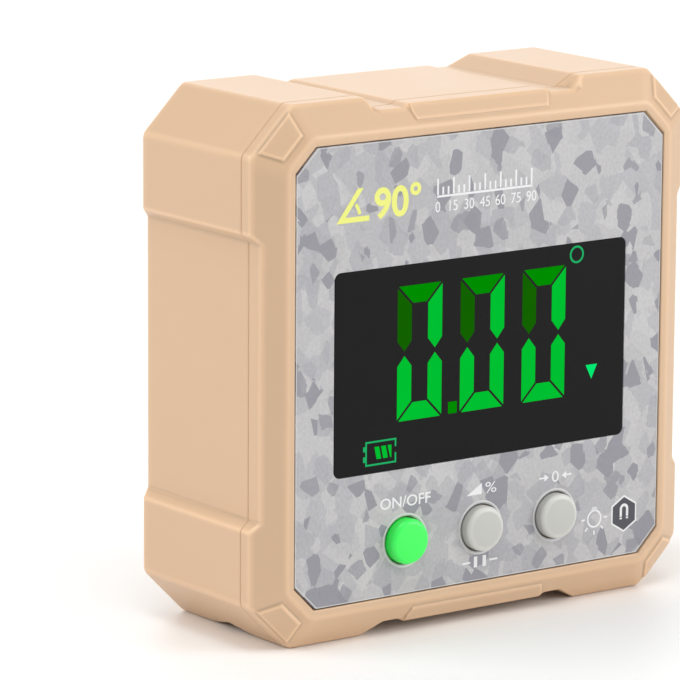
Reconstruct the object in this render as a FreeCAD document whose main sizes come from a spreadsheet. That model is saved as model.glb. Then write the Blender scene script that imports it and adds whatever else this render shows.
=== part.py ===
import FreeCAD, Part
import math
import os
import Sketcher

# A square digital inclinometer, as an assembly of separate pieces.
# Millimetres. +Z is up, the display faces -Y, and the origin lies under the middle of the base.
# A depth is a distance behind the plane of the case's front rim.

SIZES = {
    # Case outline, seen from the front, and its bevelled front and back edges.
    "case_width": 60.0,
    "case_height": 60.0,
    "case_depth": 24.8,
    "corner_cut": 5.3,
    "bevel_run": 3.5,
    "bevel_depth": 2.1,
    # Corner bumpers, the troughs between them, and the raised middle panels.
    "bumper_across": 14.9,
    "bumper_along": 13.7,
    "bumper_slope": 2.6,
    "side_recess": 1.0,
    "side_slope": 1.0,
    "trough_recess": 1.4,
    "panel_recess": 1.0,
    "panel_width": 19.0,
    "panel_slope": 0.8,
    "panel_raise": 0.35,
    "panel_stop": 0.6,
    # Raised pads on the four front corner bevels.
    "pad_outer": 6.0,
    "pad_inner": 3.7,
    "pad_margin": 0.25,
    "pad_run": 2.9,
    "pad_raise": 0.35,
    "pad_side": 0.3,
    # Shells.
    "wall": 1.8,
    "back_wall": 2.0,
    "parting_depth": 3.85,
    "front_wall": 1.5,
    "skirt_length": 2.0,
    "skirt_wall": 1.0,
    "skirt_gap": 0.1,
    "seal_inset": 0.5,
    "seal_width": 0.7,
    "seal_thickness": 0.7,
    "seal_ease": 0.04,
    # Printed faceplate, set in from the case's edge, and the display window, set in from the plate's.
    "plate_rim": 4.6,
    "plate_cut": 2.8,
    "plate_thickness": 0.6,
    "plate_inset": 0.1,
    "plate_gap": 0.12,
    "window_side": 5.2,
    "window_band": 14.1,
    "window_rise": 0.1,
    "window_radius": 0.8,
    "window_gap": 0.1,
    "window_ledge": 0.6,
    "ledge_thickness": 0.4,
    # Liquid crystal display, its light guide and its holder.
    "gasket_thickness": 0.3,
    "gasket_width": 1.2,
    "glass_side_border": 2.0,
    "glass_end_border": 2.4,
    "glass_thickness": 0.9,
    "glass_step": 2.2,
    "glass_gap": 0.15,
    "light_gap": 0.5,
    "light_thickness": 3.2,
    "frame_wall": 1.0,
    "peg_radius": 0.45,
    "peg_length": 1.0,
    "strip_gap": 2.2,
    "strip_width": 1.7,
    # Circuit board and what it carries.
    "board_thickness": 1.2,
    "board_gap": 0.4,
    "post_radius": 1.6,
    "top_post_spread": 28.0,
    "top_post_drop": 10.2,
    "sensor_width": 3.0,
    "sensor_height": 1.0,
    "sensor_shift": 9.0,
    "chip_width": 7.0,
    "chip_height": 1.3,
    "chip_gap": 0.5,
    "crystal_length": 3.2,
    "crystal_width": 1.5,
    "crystal_height": 0.8,
    "capacitor_length": 2.0,
    "capacitor_width": 1.25,
    "capacitor_height": 1.2,
    "capacitor_spread": 14.0,
    # Buttons, their row's height above the faceplate's lower edge, and the switches under them.
    "button_pitch": 10.5,
    "button_rise": 6.05,
    "button_travel": 0.5,
    "cap_radius": 2.55,
    "cap_proud": 1.2,
    "cap_rounding": 0.45,
    "cap_gap": 0.3,
    "guide_gap": 0.08,
    "flange_radius": 2.95,
    "flange_thickness": 0.8,
    "button_seal_thickness": 0.4,
    "plunger_radius": 1.7,
    "plunger_length": 2.05,
    "plunger_gap": 0.05,
    "switch_width": 5.2,
    "switch_gap": 0.25,
    # Battery cells, their bay and contacts.
    "cell_radius": 5.25,
    "cell_length": 43.5,
    "nub_radius": 1.9,
    "nub_length": 1.0,
    "cell_gap": 0.8,
    "cell_ease": 0.25,
    "bay_wall": 1.2,
    "contact_thickness": 0.3,
    "contact_width": 8.0,
    "tab_width": 1.6,
    "tab_inset": 0.9,
    "tab_gap": 0.1,
    "spring_length": 3.3,
    "spring_wire": 0.25,
    "spring_radius": 3.4,
    "spring_tip_radius": 2.2,
    "spring_turns": 3.0,
    # Battery cover, and how far it reaches past the bay.
    "cover_side_lap": 1.6,
    "cover_end_lap": 5.85,
    "cover_thickness": 1.7,
    "cover_radius": 3.0,
    "cover_gap": 0.15,
    "cover_seal_thickness": 0.3,
    "cover_seal_margin": 0.5,
    "cover_ledge": 1.2,
    "cover_screw_inset": 2.9,
    # Screws and the bosses that they bite into.
    "case_screw_clearance": 0.3,
    "case_screw_radius": 1.1,
    "case_screw_length": 10.0,
    "case_head_radius": 1.9,
    "case_head_height": 1.5,
    "well_radius": 2.2,
    "well_seat": 14.5,
    "column_radius": 3.6,
    "boss_radius": 2.6,
    "boss_depth": 8.4,
    "small_screw_radius": 0.8,
    "small_head_radius": 1.5,
    "small_head_height": 1.0,
    "board_screw_length": 4.0,
    "cover_screw_length": 5.5,
    "cover_boss_radius": 2.2,
    "slot_width": 0.5,
    "slot_depth": 0.6,
    "thread_gap": 0.05,
    "clear_gap": 0.2,
    # Magnetic base.
    "groove_width": 7.2,
    "groove_depth": 0.9,
    "magnet_radius": 4.0,
    "magnet_thickness": 2.5,
    "magnet_recess": 1.0,
    "magnet_gap": 0.05,
    "magnet_wall": 0.8,
}

ROOT_TWO = math.sqrt(2.0)
# How much an eight-sided outline's corner cut shrinks for each millimetre that it moves inwards.
CUT_SHRINK = 2.0 - ROOT_TWO
# How far a cutting outline runs past the face that it opens.
OVERRUN = 2.0
# How far a raised form starts below the face that it stands on, so that both fuse.
SINK = 0.3
# How much of a screw head's diameter its driver slot takes up.
SLOT_SHARE = 0.8

SIDES = (-1, 1)
CORNERS = [(side, level) for side in SIDES for level in SIDES]
FRONT_PLANE, BASE_PLANE, SIDE_PLANE = "XZ_Plane", "XY_Plane", "YZ_Plane"
FRONT, RIGHT = FreeCAD.Vector(0, -1, 0), FreeCAD.Vector(1, 0, 0)
ALONG_Y = FreeCAD.Rotation(RIGHT, -90)
ALONG_X = FreeCAD.Rotation(FreeCAD.Vector(0, 1, 0), 90)
ALONG_MINUS_X = FreeCAD.Rotation(FreeCAD.Vector(0, 1, 0), -90)

doc = FreeCAD.newDocument("inclinometer")


class Size:
    """A length, with the expression that ties it to the spreadsheet."""

    def __init__(self, value, text):
        self.value = value
        self.text = text

    def __add__(self, other):
        other = as_size(other)
        return Size(self.value + other.value, f"({self.text} + {other.text})")

    def __sub__(self, other):
        other = as_size(other)
        return Size(self.value - other.value, f"({self.text} - {other.text})")

    def __mul__(self, other):
        other = as_size(other)
        return Size(self.value * other.value, f"({self.text} * {other.text})")

    def __truediv__(self, other):
        other = as_size(other)
        return Size(self.value / other.value, f"({self.text} / {other.text})")

    def __radd__(self, other):
        return as_size(other) + self

    def __rsub__(self, other):
        return as_size(other) - self

    def __rmul__(self, other):
        return as_size(other) * self

    def __neg__(self):
        return 0 - self


def as_size(value):
    """Gives a plain number the form of a size."""
    return value if isinstance(value, Size) else Size(float(value), f"({float(value)!r})")


class SizeSheet:
    """The spreadsheet of driving dimensions, read as attributes."""

    def __init__(self, sizes):
        self.sheet = doc.addObject("Spreadsheet::Sheet", "Sizes")
        for row, (alias, value) in enumerate(sizes.items(), start=1):
            self.sheet.set(f"A{row}", alias)
            self.sheet.set(f"B{row}", str(value))
            self.sheet.setAlias(f"B{row}", alias)
        doc.recompute()

    def __getattr__(self, alias):
        return Size(float(self.sheet.get(alias)), f"Sizes.{alias}")


S = SizeSheet(SIZES)


# --- Places that several pieces share -------------------------------------------------------

RIM = (S.case_depth - S.cap_proud) / 2
MIDDLE = S.case_height / 2
PLATE_SEAT = S.plate_inset + S.plate_thickness
WALL_BACK = PLATE_SEAT + S.front_wall
LEDGE_BACK = PLATE_SEAT + S.ledge_thickness
GLASS_FRONT = LEDGE_BACK + S.gasket_thickness
GLASS_STEP = GLASS_FRONT + S.glass_thickness
GLASS_BACK = GLASS_STEP + S.glass_thickness
BOARD_FRONT = GLASS_BACK + S.light_thickness
BOARD_BACK = BOARD_FRONT + S.board_thickness
PLATE_WIDTH = S.case_width - 2 * S.plate_rim
PLATE_HEIGHT = S.case_height - 2 * S.plate_rim
WINDOW_WIDTH = PLATE_WIDTH - 2 * S.window_side
WINDOW_HEIGHT = PLATE_HEIGHT - 2 * S.window_band
WINDOW_RISE = MIDDLE + S.window_rise
GLASS_WIDTH = WINDOW_WIDTH + 2 * S.glass_side_border
GLASS_HEIGHT = WINDOW_HEIGHT + 2 * S.glass_end_border
BUTTON_RISE = S.plate_rim + S.button_rise
CAVITY_INSET = S.trough_recess + S.wall
SKIRT_OUTSIDE = CAVITY_INSET + S.skirt_gap
SKIRT_INSIDE = SKIRT_OUTSIDE + S.skirt_wall
BOARD_INSET = SKIRT_INSIDE + S.board_gap
FLANGE_FRONT = WALL_BACK + S.button_seal_thickness + S.seal_ease
FLANGE_BACK = FLANGE_FRONT + S.flange_thickness
COVER_INSIDE = S.case_depth - S.cover_thickness
COVER_SEAT = COVER_INSIDE - S.cover_seal_thickness - S.seal_ease
CELL_DEPTH = COVER_INSIDE - S.cell_ease - S.cell_radius
BAY_BACK = CELL_DEPTH - S.cell_radius - S.cell_ease
BAY_FRONT = BAY_BACK - S.bay_wall
BAY_HEIGHT = 4 * S.cell_radius + S.cell_gap + 2 * S.cell_ease
BAY_LENGTH = S.cell_length + S.nub_length + S.spring_length + 2 * S.contact_thickness
CELL_RISE = S.cell_radius + S.cell_gap / 2
COVER_WIDTH = BAY_LENGTH + 2 * S.cover_side_lap
COVER_HEIGHT = BAY_HEIGHT + 2 * S.cover_end_lap
# The chips on the back of the board stand above and below the bay, clear of its walls.
CHIP_REACH = BAY_HEIGHT / 2 + S.bay_wall + S.chip_gap
CHIP_RISE = MIDDLE + CHIP_REACH + S.chip_width / 2
CRYSTAL_RISE = CHIP_RISE + (S.chip_width + S.crystal_width) / 2 + S.chip_gap
SENSOR_RISE = MIDDLE - CHIP_REACH - S.sensor_width / 2
MAGNET_TOP = S.magnet_recess + S.magnet_thickness
SCREW_INSET = MAGNET_TOP + S.magnet_wall + S.case_screw_clearance + S.boss_radius
SCREW_X = S.case_width / 2 - SCREW_INSET
SCREW_Z = S.case_height / 2 - SCREW_INSET
COVER_SCREW_X = COVER_WIDTH / 2 - S.cover_screw_inset
COVER_SCREW_Z = COVER_HEIGHT / 2 - S.cover_screw_inset
GROOVE_DEPTH_IN = S.case_depth / 2
BUMPER_MIDDLE = (S.case_width - S.corner_cut - S.bumper_across) / 2
# The low posts stand halfway between the outer switches and the case bosses.
LOW_POST_X = (S.button_pitch + S.switch_width / 2 + SCREW_X - S.boss_radius) / 2


def at_depth(depth):
    """The Y place of a depth behind the rim."""
    return depth - RIM


def post_places():
    """Where the board's four posts stand, as X and Z places."""
    top = S.case_height - S.top_post_drop
    low = [(side * LOW_POST_X, BUTTON_RISE) for side in SIDES]
    return low + [(side * S.top_post_spread / 2, top) for side in SIDES]


def screw_places():
    """Where the four case screws stand, as X and Z places."""
    return [(side * SCREW_X, MIDDLE + level * SCREW_Z) for side, level in CORNERS]


def cover_screw_places():
    """Where the battery cover's four screws stand, as X and Z places."""
    return [(side * COVER_SCREW_X, MIDDLE + level * COVER_SCREW_Z) for side, level in CORNERS]


def button_places():
    """The X places of the three buttons, by name."""
    return {"on_off": -S.button_pitch, "hold": as_size(0), "zero": as_size(0) + S.button_pitch}


# --- Sketches and features ------------------------------------------------------------------

def new_body(name):
    """Starts a PartDesign body."""
    return doc.addObject("PartDesign::Body", name)


def sketch_on(body, plane, offset):
    """Adds a sketch on one of the body's own planes, moved along the plane's normal."""
    sketch = body.newObject("Sketcher::SketchObject", f"{body.Name}_sketch")
    support = [feature for feature in body.Origin.OriginFeatures if feature.Role == plane][0]
    sketch.AttachmentSupport = [(support, "")]
    sketch.MapMode = "FlatFace"
    sketch.setExpression("AttachmentOffset.Base.z", as_size(offset).text)
    return sketch


def section(body, depth):
    """Adds a sketch across the case, at a depth behind the rim. It is drawn in X and Z."""
    return sketch_on(body, FRONT_PLANE, RIM - depth)


def tie(sketch, kind, geometry, size):
    """Adds one dimension whose value follows an expression."""
    size = as_size(size)
    index = sketch.addConstraint(Sketcher.Constraint(kind, *geometry, size.value))
    sketch.setExpression(f"Constraints[{index}]", size.text)


def fix_point(sketch, geometry, vertex, place):
    """Ties a point of the sketch to its place from the sketch's origin."""
    tie(sketch, "DistanceX", (-1, 1, geometry, vertex), place[0])
    tie(sketch, "DistanceY", (-1, 1, geometry, vertex), place[1])


def outline(sketch, places):
    """Draws a closed outline of straight lines through the places."""
    places = [(as_size(x), as_size(z)) for x, z in places]
    points = [FreeCAD.Vector(x.value, z.value, 0) for x, z in places]
    first = sketch.GeometryCount
    count = len(points)
    for index in range(count):
        line = Part.LineSegment(points[index], points[(index + 1) % count])
        sketch.addGeometry(line, False)
    for index in range(count):
        joint = Sketcher.Constraint("Coincident", first + index, 2, first + (index + 1) % count, 1)
        sketch.addConstraint(joint)
        fix_point(sketch, first + index, 1, places[index])
    return sketch


def circle(sketch, place, radius):
    """Draws a circle at a place."""
    x, z = as_size(place[0]), as_size(place[1])
    radius = as_size(radius)
    centre = FreeCAD.Vector(x.value, z.value, 0)
    index = sketch.addGeometry(Part.Circle(centre, FreeCAD.Vector(0, 0, 1), radius.value), False)
    fix_point(sketch, index, 3, (x, z))
    tie(sketch, "Radius", (index,), radius)
    return sketch


def rectangle(sketch, place, width, height):
    """Draws a rectangle round a place."""
    x, z = place
    corners = ((-1, -1), (1, -1), (1, 1), (-1, 1))
    return outline(sketch, [(x + side * width / 2, z + level * height / 2) for side, level in corners])


def rounded_rectangle(sketch, place, width, height, radius):
    """Draws a rectangle with rounded corners round a place."""
    x, z = place
    first = sketch.GeometryCount
    runs = []
    for side, level, start in ((1, -1, 270), (1, 1, 0), (-1, 1, 90), (-1, -1, 180)):
        centre = (x + side * (width / 2 - radius), z + level * (height / 2 - radius))
        middle = FreeCAD.Vector(centre[0].value, centre[1].value, 0)
        whole = Part.Circle(middle, FreeCAD.Vector(0, 0, 1), radius.value)
        arc = Part.ArcOfCircle(whole, math.radians(start), math.radians(start + 90))
        runs.append((arc, centre))
    for arc, _ in runs:
        sketch.addGeometry(arc, False)
    for index in range(4):
        line = Part.LineSegment(runs[index][0].EndPoint, runs[(index + 1) % 4][0].StartPoint)
        sketch.addGeometry(line, False)
    for index in range(4):
        following = first + (index + 1) % 4
        sketch.addConstraint(Sketcher.Constraint("Tangent", first + index, 2, first + 4 + index, 1))
        sketch.addConstraint(Sketcher.Constraint("Tangent", first + 4 + index, 2, following, 1))
    for index, (_, centre) in enumerate(runs):
        fix_point(sketch, first + index, 3, centre)
    tie(sketch, "Radius", (first,), radius)
    return sketch


def eight_sided(sketch, half_width, half_height, cut):
    """Draws the case's eight-sided outline round its middle."""
    flat, rise = half_width - cut, half_height - cut
    places = [(-flat, -half_height), (flat, -half_height), (half_width, -rise), (half_width, rise),
              (flat, half_height), (-flat, half_height), (-half_width, rise), (-half_width, -rise)]
    return outline(sketch, [(x, MIDDLE + z) for x, z in places])


def case_outline(sketch, inset):
    """Draws the case's outline, moved inwards by an inset."""
    cut = S.corner_cut - inset * CUT_SHRINK
    return eight_sided(sketch, S.case_width / 2 - inset, S.case_height / 2 - inset, cut)


def feature(body, kind, sketch, length, flipped):
    """Adds a pad or a pocket of one length."""
    made = body.newObject(f"PartDesign::{kind}", f"{body.Name}_{kind}")
    made.Profile = sketch
    made.Reversed = flipped
    made.setExpression("Length", as_size(length).text)
    return made


def pad_back(body, sketch, length):
    """Pads a section towards the back of the case."""
    return feature(body, "Pad", sketch, length, True)


def cut_back(body, sketch, length):
    """Cuts a section towards the back of the case."""
    return feature(body, "Pocket", sketch, length, False)


def cut_forward(body, sketch, length):
    """Cuts a section towards the front of the case."""
    return feature(body, "Pocket", sketch, length, True)


def across(made):
    """Spreads a pad or pocket evenly to both sides of its sketch."""
    made.SideType = "Symmetric"
    return made


def loft(body, first, last):
    """Adds straight walls between two sections."""
    made = body.newObject("PartDesign::AdditiveLoft", f"{body.Name}_Loft")
    made.Profile = first
    made.Sections = [last]
    made.Ruled = True
    return made


# --- Primitives and booleans ----------------------------------------------------------------

def place_at(item, x, y, z):
    """Ties an object's place to three sizes."""
    for axis, size in zip("xyz", (x, y, z)):
        item.setExpression(f"Placement.Base.{axis}", as_size(size).text)
    return item


def block(name, middle, size):
    """Makes a box round its middle in X and Z, from its front face back along Y."""
    item = doc.addObject("Part::Box", name)
    for side, length in zip(("Length", "Width", "Height"), size):
        item.setExpression(side, as_size(length).text)
    return place_at(item, middle[0] - size[0] / 2, middle[1], middle[2] - size[2] / 2)


def rod(name, start, radius, length, turn=ALONG_Y):
    """Makes a cylinder from its starting point, along +Y unless turned."""
    item = doc.addObject("Part::Cylinder", name)
    item.setExpression("Radius", as_size(radius).text)
    item.setExpression("Height", as_size(length).text)
    item.Placement = FreeCAD.Placement(FreeCAD.Vector(0, 0, 0), turn)
    return place_at(item, *start)


def cut(name, base, tool):
    """Takes one solid out of another."""
    item = doc.addObject("Part::Cut", name)
    item.Base, item.Tool = base, tool
    return item


def fuse(name, items):
    """Joins solids into one."""
    item = doc.addObject("Part::MultiFuse", name)
    item.Shapes = items
    item.Refine = True
    return item


def group(name, items):
    """Keeps solids apart under one name."""
    item = doc.addObject("Part::Compound", name)
    item.Links = items
    return item


def screw(name, place, head_back, sizes):
    """Makes a slotted screw that points forward, with its head's outer face at a depth."""
    radius, length, head_radius, head_height = sizes
    x, z = place
    under_head = head_back - head_height
    shank = rod(f"{name}_shank", (x, at_depth(under_head - length), z), radius, length + SINK)
    head = rod(f"{name}_head", (x, at_depth(under_head), z), head_radius, head_height)
    slot_size = (2 * head_radius * SLOT_SHARE, S.slot_depth + SINK, S.slot_width)
    slot = block(f"{name}_slot", (x, at_depth(head_back - S.slot_depth), z), slot_size)
    return cut(name, fuse(f"{name}_blank", [shank, head]), slot)


def finished(item, name):
    """Gives a sub-part the label that names its file."""
    item.Label = name
    return item


# --- Outer shape of the case ----------------------------------------------------------------

def bumper_relief(sketch):
    """Draws what is cut away between the corner bumpers, on all four sides."""
    half = S.case_width / 2
    bumper_end = half - S.bumper_across
    trough_end = bumper_end - S.bumper_slope
    panel_top = S.panel_width / 2
    panel_foot = panel_top + S.panel_slope
    profile = [(bumper_end, -OVERRUN), (bumper_end, 0), (trough_end, S.trough_recess),
               (panel_foot, S.trough_recess), (panel_top, S.panel_recess)]
    for turn in (lambda sunk: sunk, lambda sunk: S.case_height - sunk):
        right = [(x, turn(as_size(sunk))) for x, sunk in profile]
        left = [(-x, level) for x, level in reversed(right)]
        outline(sketch, right + left)
    reach = S.case_height / 2 - S.bumper_along
    for side in SIDES:
        outer, face, floor = half + OVERRUN, half, half - S.side_recess
        run = [(outer, -reach), (face, -reach), (floor, S.side_slope - reach),
               (floor, reach - S.side_slope), (face, reach), (outer, reach)]
        outline(sketch, [(side * x, MIDDLE + z) for x, z in run])
    return sketch


def middle_panel(body, top):
    """Adds the raised middle panel's face on the front bevel, over or under the faceplate."""
    rise = lambda sunk: S.case_height - sunk if top else sunk
    places = []
    for sunk, shift in ((S.panel_recess, -S.panel_raise), (S.bevel_run - S.panel_stop, -S.panel_raise),
                        (S.bevel_run - S.panel_stop, as_size(SINK)), (S.panel_recess, as_size(SINK))):
        bevel = S.bevel_depth - sunk * S.bevel_depth / S.bevel_run
        places.append((at_depth(bevel + shift), rise(sunk)))
    face = outline(sketch_on(body, SIDE_PLANE, 0), places)
    across(feature(body, "Pad", face, S.panel_width, False))


def corner_pad(side, level):
    """Makes the raised pad on one of the front corner bevels."""
    run, drop = S.bevel_run.value, S.bevel_depth.value
    slant = math.hypot(run, drop)
    inwards = FreeCAD.Vector(-side, 0, -level) / ROOT_TWO
    tangent = FreeCAD.Vector(side, 0, -level) / ROOT_TWO
    downhill = (inwards * run + FRONT * drop) / slant
    outwards = (FRONT * run - inwards * drop) / slant
    half_cut = S.corner_cut.value / 2
    edge = FreeCAD.Vector(side * (S.case_width.value / 2 - half_cut), at_depth(S.bevel_depth).value,
                          MIDDLE.value + level * (S.case_height.value / 2 - half_cut))

    def ring(height, inset):
        near, far = S.pad_margin.value + inset, S.pad_margin.value + S.pad_run.value - inset
        wide, narrow = S.pad_outer.value / 2 - inset, S.pad_inner.value / 2 - inset
        corners = ((near, -wide), (near, wide), (far, narrow), (far, -narrow), (near, -wide))
        lift = outwards * height
        return Part.makePolygon([edge + downhill * v + tangent * u + lift for v, u in corners])

    levels = [ring(-SINK, 0), ring(0, 0), ring(S.pad_raise.value, S.pad_side.value)]
    item = doc.addObject("Part::Feature", "corner_pad")
    item.Shape = Part.makeLoft(levels, True, True)
    return item


# --- Case shells ----------------------------------------------------------------------------

def front_bezel():
    """The front shell: bevelled frame, faceplate seat, display opening, guides and bosses."""
    body = new_body("bezel_body")
    loft(body, case_outline(section(body, 0), S.bevel_run), case_outline(section(body, S.bevel_depth), 0))
    pad_back(body, case_outline(section(body, S.bevel_depth), 0), S.parting_depth - S.bevel_depth)
    cut_back(body, bumper_relief(section(body, 0)), S.parting_depth)
    for top in (False, True):
        middle_panel(body, top)
    ring = case_outline(case_outline(section(body, S.parting_depth), SKIRT_OUTSIDE), SKIRT_INSIDE)
    pad_back(body, ring, S.skirt_length)
    hollow = case_outline(section(body, S.parting_depth), SKIRT_INSIDE)
    cut_forward(body, hollow, S.parting_depth - WALL_BACK)
    seat = eight_sided(section(body, 0), PLATE_WIDTH / 2 + S.plate_gap,
                       PLATE_HEIGHT / 2 + S.plate_gap, S.plate_cut)
    cut_back(body, seat, PLATE_SEAT)
    opening = rectangle(section(body, 0), (as_size(0), WINDOW_RISE),
                        WINDOW_WIDTH - 2 * S.window_ledge, WINDOW_HEIGHT - 2 * S.window_ledge)
    cut_back(body, opening, WALL_BACK)
    display = rectangle(section(body, WALL_BACK), (as_size(0), WINDOW_RISE),
                        GLASS_WIDTH + 2 * S.glass_gap, GLASS_HEIGHT + 2 * S.glass_gap)
    cut_forward(body, display, WALL_BACK - LEDGE_BACK)
    guides = section(body, 0)
    for x in button_places().values():
        circle(guides, (x, BUTTON_RISE), S.cap_radius + S.guide_gap)
    cut_back(body, guides, WALL_BACK)
    for places, radius, end, bore in (
            (screw_places(), S.boss_radius, S.boss_depth, S.case_screw_radius),
            (post_places(), S.post_radius, BOARD_FRONT, S.small_screw_radius)):
        posts = section(body, WALL_BACK)
        bores = section(body, end)
        for place in places:
            circle(posts, place, radius)
            circle(bores, place, bore + S.thread_gap)
        pad_back(body, posts, end - WALL_BACK)
        cut_forward(body, bores, end - WALL_BACK)
    pads = [corner_pad(side, level) for side, level in CORNERS]
    return finished(fuse("bezel", [body] + pads), "front_bezel")


def main_housing():
    """The rear shell: walls, bumpers, battery bay, screw columns and the magnetic base."""
    body = new_body("housing_body")
    bevel_start = S.case_depth - S.bevel_depth
    inner_back = S.case_depth - S.back_wall
    pad_back(body, case_outline(section(body, S.parting_depth), 0), bevel_start - S.parting_depth)
    loft(body, case_outline(section(body, bevel_start), 0),
         case_outline(section(body, S.case_depth), S.bevel_run))
    cut_back(body, bumper_relief(section(body, S.parting_depth)), S.case_depth)
    cut_back(body, case_outline(section(body, S.parting_depth), CAVITY_INSET), inner_back - S.parting_depth)
    seal_seat(body)
    battery_bay(body, inner_back)
    screw_columns(body, inner_back)
    magnetic_base(body)
    return finished(body, "main_housing")


def seal_seat(body):
    """Cuts the groove for the case seal into the rim that meets the front shell."""
    outside = CAVITY_INSET - S.seal_inset
    ring = case_outline(section(body, S.parting_depth), outside)
    cut_back(body, case_outline(ring, outside - S.seal_width), S.seal_thickness)


def battery_bay(body, inner_back):
    """Adds the bay for the two cells, with the cover's seat and its screw bosses."""
    middle = (as_size(0), MIDDLE)
    outside = rectangle(section(body, BAY_FRONT), middle, BAY_LENGTH + 2 * S.bay_wall,
                        BAY_HEIGHT + 2 * S.bay_wall)
    pad_back(body, outside, inner_back - BAY_FRONT)
    ledge_front = COVER_SEAT - S.cover_ledge
    rim = 2 * (S.cover_gap + S.bay_wall)
    tray = rectangle(section(body, ledge_front), middle, COVER_WIDTH + rim, COVER_HEIGHT + rim)
    pad_back(body, tray, inner_back - ledge_front)
    boss_front = COVER_SEAT - S.cover_screw_length
    bosses, bores = section(body, boss_front), section(body, COVER_SEAT)
    for place in cover_screw_places():
        circle(bosses, place, S.cover_boss_radius)
        circle(bores, place, S.small_screw_radius + S.thread_gap)
    pad_back(body, bosses, COVER_SEAT - boss_front)
    recess = rounded_rectangle(section(body, S.case_depth), middle, COVER_WIDTH + 2 * S.cover_gap,
                               COVER_HEIGHT + 2 * S.cover_gap, S.cover_radius + S.cover_gap)
    cut_forward(body, recess, S.case_depth - COVER_SEAT)
    cut_forward(body, rectangle(section(body, COVER_SEAT), middle, BAY_LENGTH, BAY_HEIGHT),
                COVER_SEAT - BAY_BACK)
    cut_forward(body, bores, COVER_SEAT - boss_front)
    slots = section(body, BAY_BACK)
    for level in SIDES:
        rectangle(slots, tab_place(level), S.contact_thickness + 2 * S.tab_gap,
                  S.tab_width + 2 * S.tab_gap)
    cut_forward(body, slots, S.bay_wall)


def screw_columns(body, inner_back):
    """Adds the four deep columns that the case screws pass through."""
    columns = section(body, S.boss_depth)
    wells = section(body, S.case_depth)
    holes = section(body, S.boss_depth)
    for place in screw_places():
        circle(columns, place, S.column_radius)
        circle(wells, place, S.well_radius)
        circle(holes, place, S.case_screw_radius + S.clear_gap)
    pad_back(body, columns, inner_back - S.boss_depth)
    cut_forward(body, wells, S.case_depth - S.well_seat)
    cut_back(body, holes, S.well_seat - S.boss_depth)


def magnetic_base(body):
    """Adds the magnet housings under the base and the pipe groove across it."""
    floor = CAVITY_INSET - SINK
    housings, pockets = sketch_on(body, BASE_PLANE, floor), sketch_on(body, BASE_PLANE, 0)
    for side in SIDES:
        place = (side * BUMPER_MIDDLE, at_depth(GROOVE_DEPTH_IN))
        circle(housings, place, S.magnet_radius + S.magnet_gap + S.magnet_wall)
        circle(pockets, place, S.magnet_radius + S.magnet_gap)
    feature(body, "Pad", housings, MAGNET_TOP + S.magnet_wall - floor, False)
    feature(body, "Pocket", pockets, MAGNET_TOP, True)
    middle, half = at_depth(GROOVE_DEPTH_IN), S.groove_width / 2
    vee = outline(sketch_on(body, SIDE_PLANE, 0),
                  [(middle - half, -OVERRUN), (middle - half, 0), (middle, S.groove_depth),
                   (middle + half, 0), (middle + half, -OVERRUN)])
    across(feature(body, "Pocket", vee, S.case_width + 2 * OVERRUN, False))


def housing_seal():
    """The flat ring that seals the two shells."""
    body = new_body("seal_body")
    outside = CAVITY_INSET - S.seal_inset - S.seal_ease
    inside = CAVITY_INSET - S.seal_inset - S.seal_width + S.seal_ease
    ring = case_outline(case_outline(section(body, S.parting_depth), outside), inside)
    pad_back(body, ring, S.seal_thickness)
    return finished(body, "housing_seal")


# --- Face of the instrument -----------------------------------------------------------------

def faceplate():
    """The printed plate round the display and the buttons."""
    body = new_body("plate_body")
    sheet = eight_sided(section(body, S.plate_inset), PLATE_WIDTH / 2, PLATE_HEIGHT / 2, S.plate_cut)
    pad_back(body, sheet, S.plate_thickness)
    window = rounded_rectangle(section(body, S.plate_inset), (as_size(0), WINDOW_RISE),
                               WINDOW_WIDTH + 2 * S.window_gap, WINDOW_HEIGHT + 2 * S.window_gap,
                               S.window_radius + S.window_gap)
    cut_back(body, window, S.plate_thickness)
    holes = section(body, S.plate_inset)
    for x in button_places().values():
        circle(holes, (x, BUTTON_RISE), S.cap_radius + S.cap_gap)
    cut_back(body, holes, S.plate_thickness)
    return finished(body, "faceplate")


def display_window():
    """The dark lens that closes the display opening."""
    body = new_body("window_body")
    shape = rounded_rectangle(section(body, S.plate_inset), (as_size(0), WINDOW_RISE),
                              WINDOW_WIDTH, WINDOW_HEIGHT, S.window_radius)
    pad_back(body, shape, S.plate_thickness)
    return finished(body, "display_window")


def display_gasket():
    """The foam frame between the opening's ledge and the display glass."""
    body = new_body("gasket_body")
    middle = (as_size(0), WINDOW_RISE)
    ring = rectangle(section(body, LEDGE_BACK), middle, GLASS_WIDTH, GLASS_HEIGHT)
    rectangle(ring, middle, GLASS_WIDTH - 2 * S.gasket_width, GLASS_HEIGHT - 2 * S.gasket_width)
    pad_back(body, ring, S.gasket_thickness)
    return finished(body, "display_gasket")


def lcd_panel():
    """The display glass: a full front sheet and a shorter back sheet that leaves its contacts bare."""
    front = block("lcd_front_sheet", (as_size(0), at_depth(GLASS_FRONT), WINDOW_RISE),
                  (GLASS_WIDTH, S.glass_thickness, GLASS_HEIGHT))
    back = block("lcd_back_sheet", (as_size(0), at_depth(GLASS_STEP), WINDOW_RISE),
                 (GLASS_WIDTH, S.glass_thickness, GLASS_HEIGHT - 2 * S.glass_step))
    return finished(fuse("lcd", [front, back]), "lcd_panel")


def backlight_panel():
    """The light guide behind the display glass."""
    light_height = GLASS_HEIGHT - 2 * (S.glass_step + S.light_gap)
    return finished(block("light_guide", (as_size(0), at_depth(GLASS_BACK), WINDOW_RISE),
                          (GLASS_WIDTH, S.light_thickness, light_height)), "backlight_panel")


def strip_rise():
    """How far the contact strips stand above and below the display's middle."""
    return (GLASS_HEIGHT - S.glass_step) / 2


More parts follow.
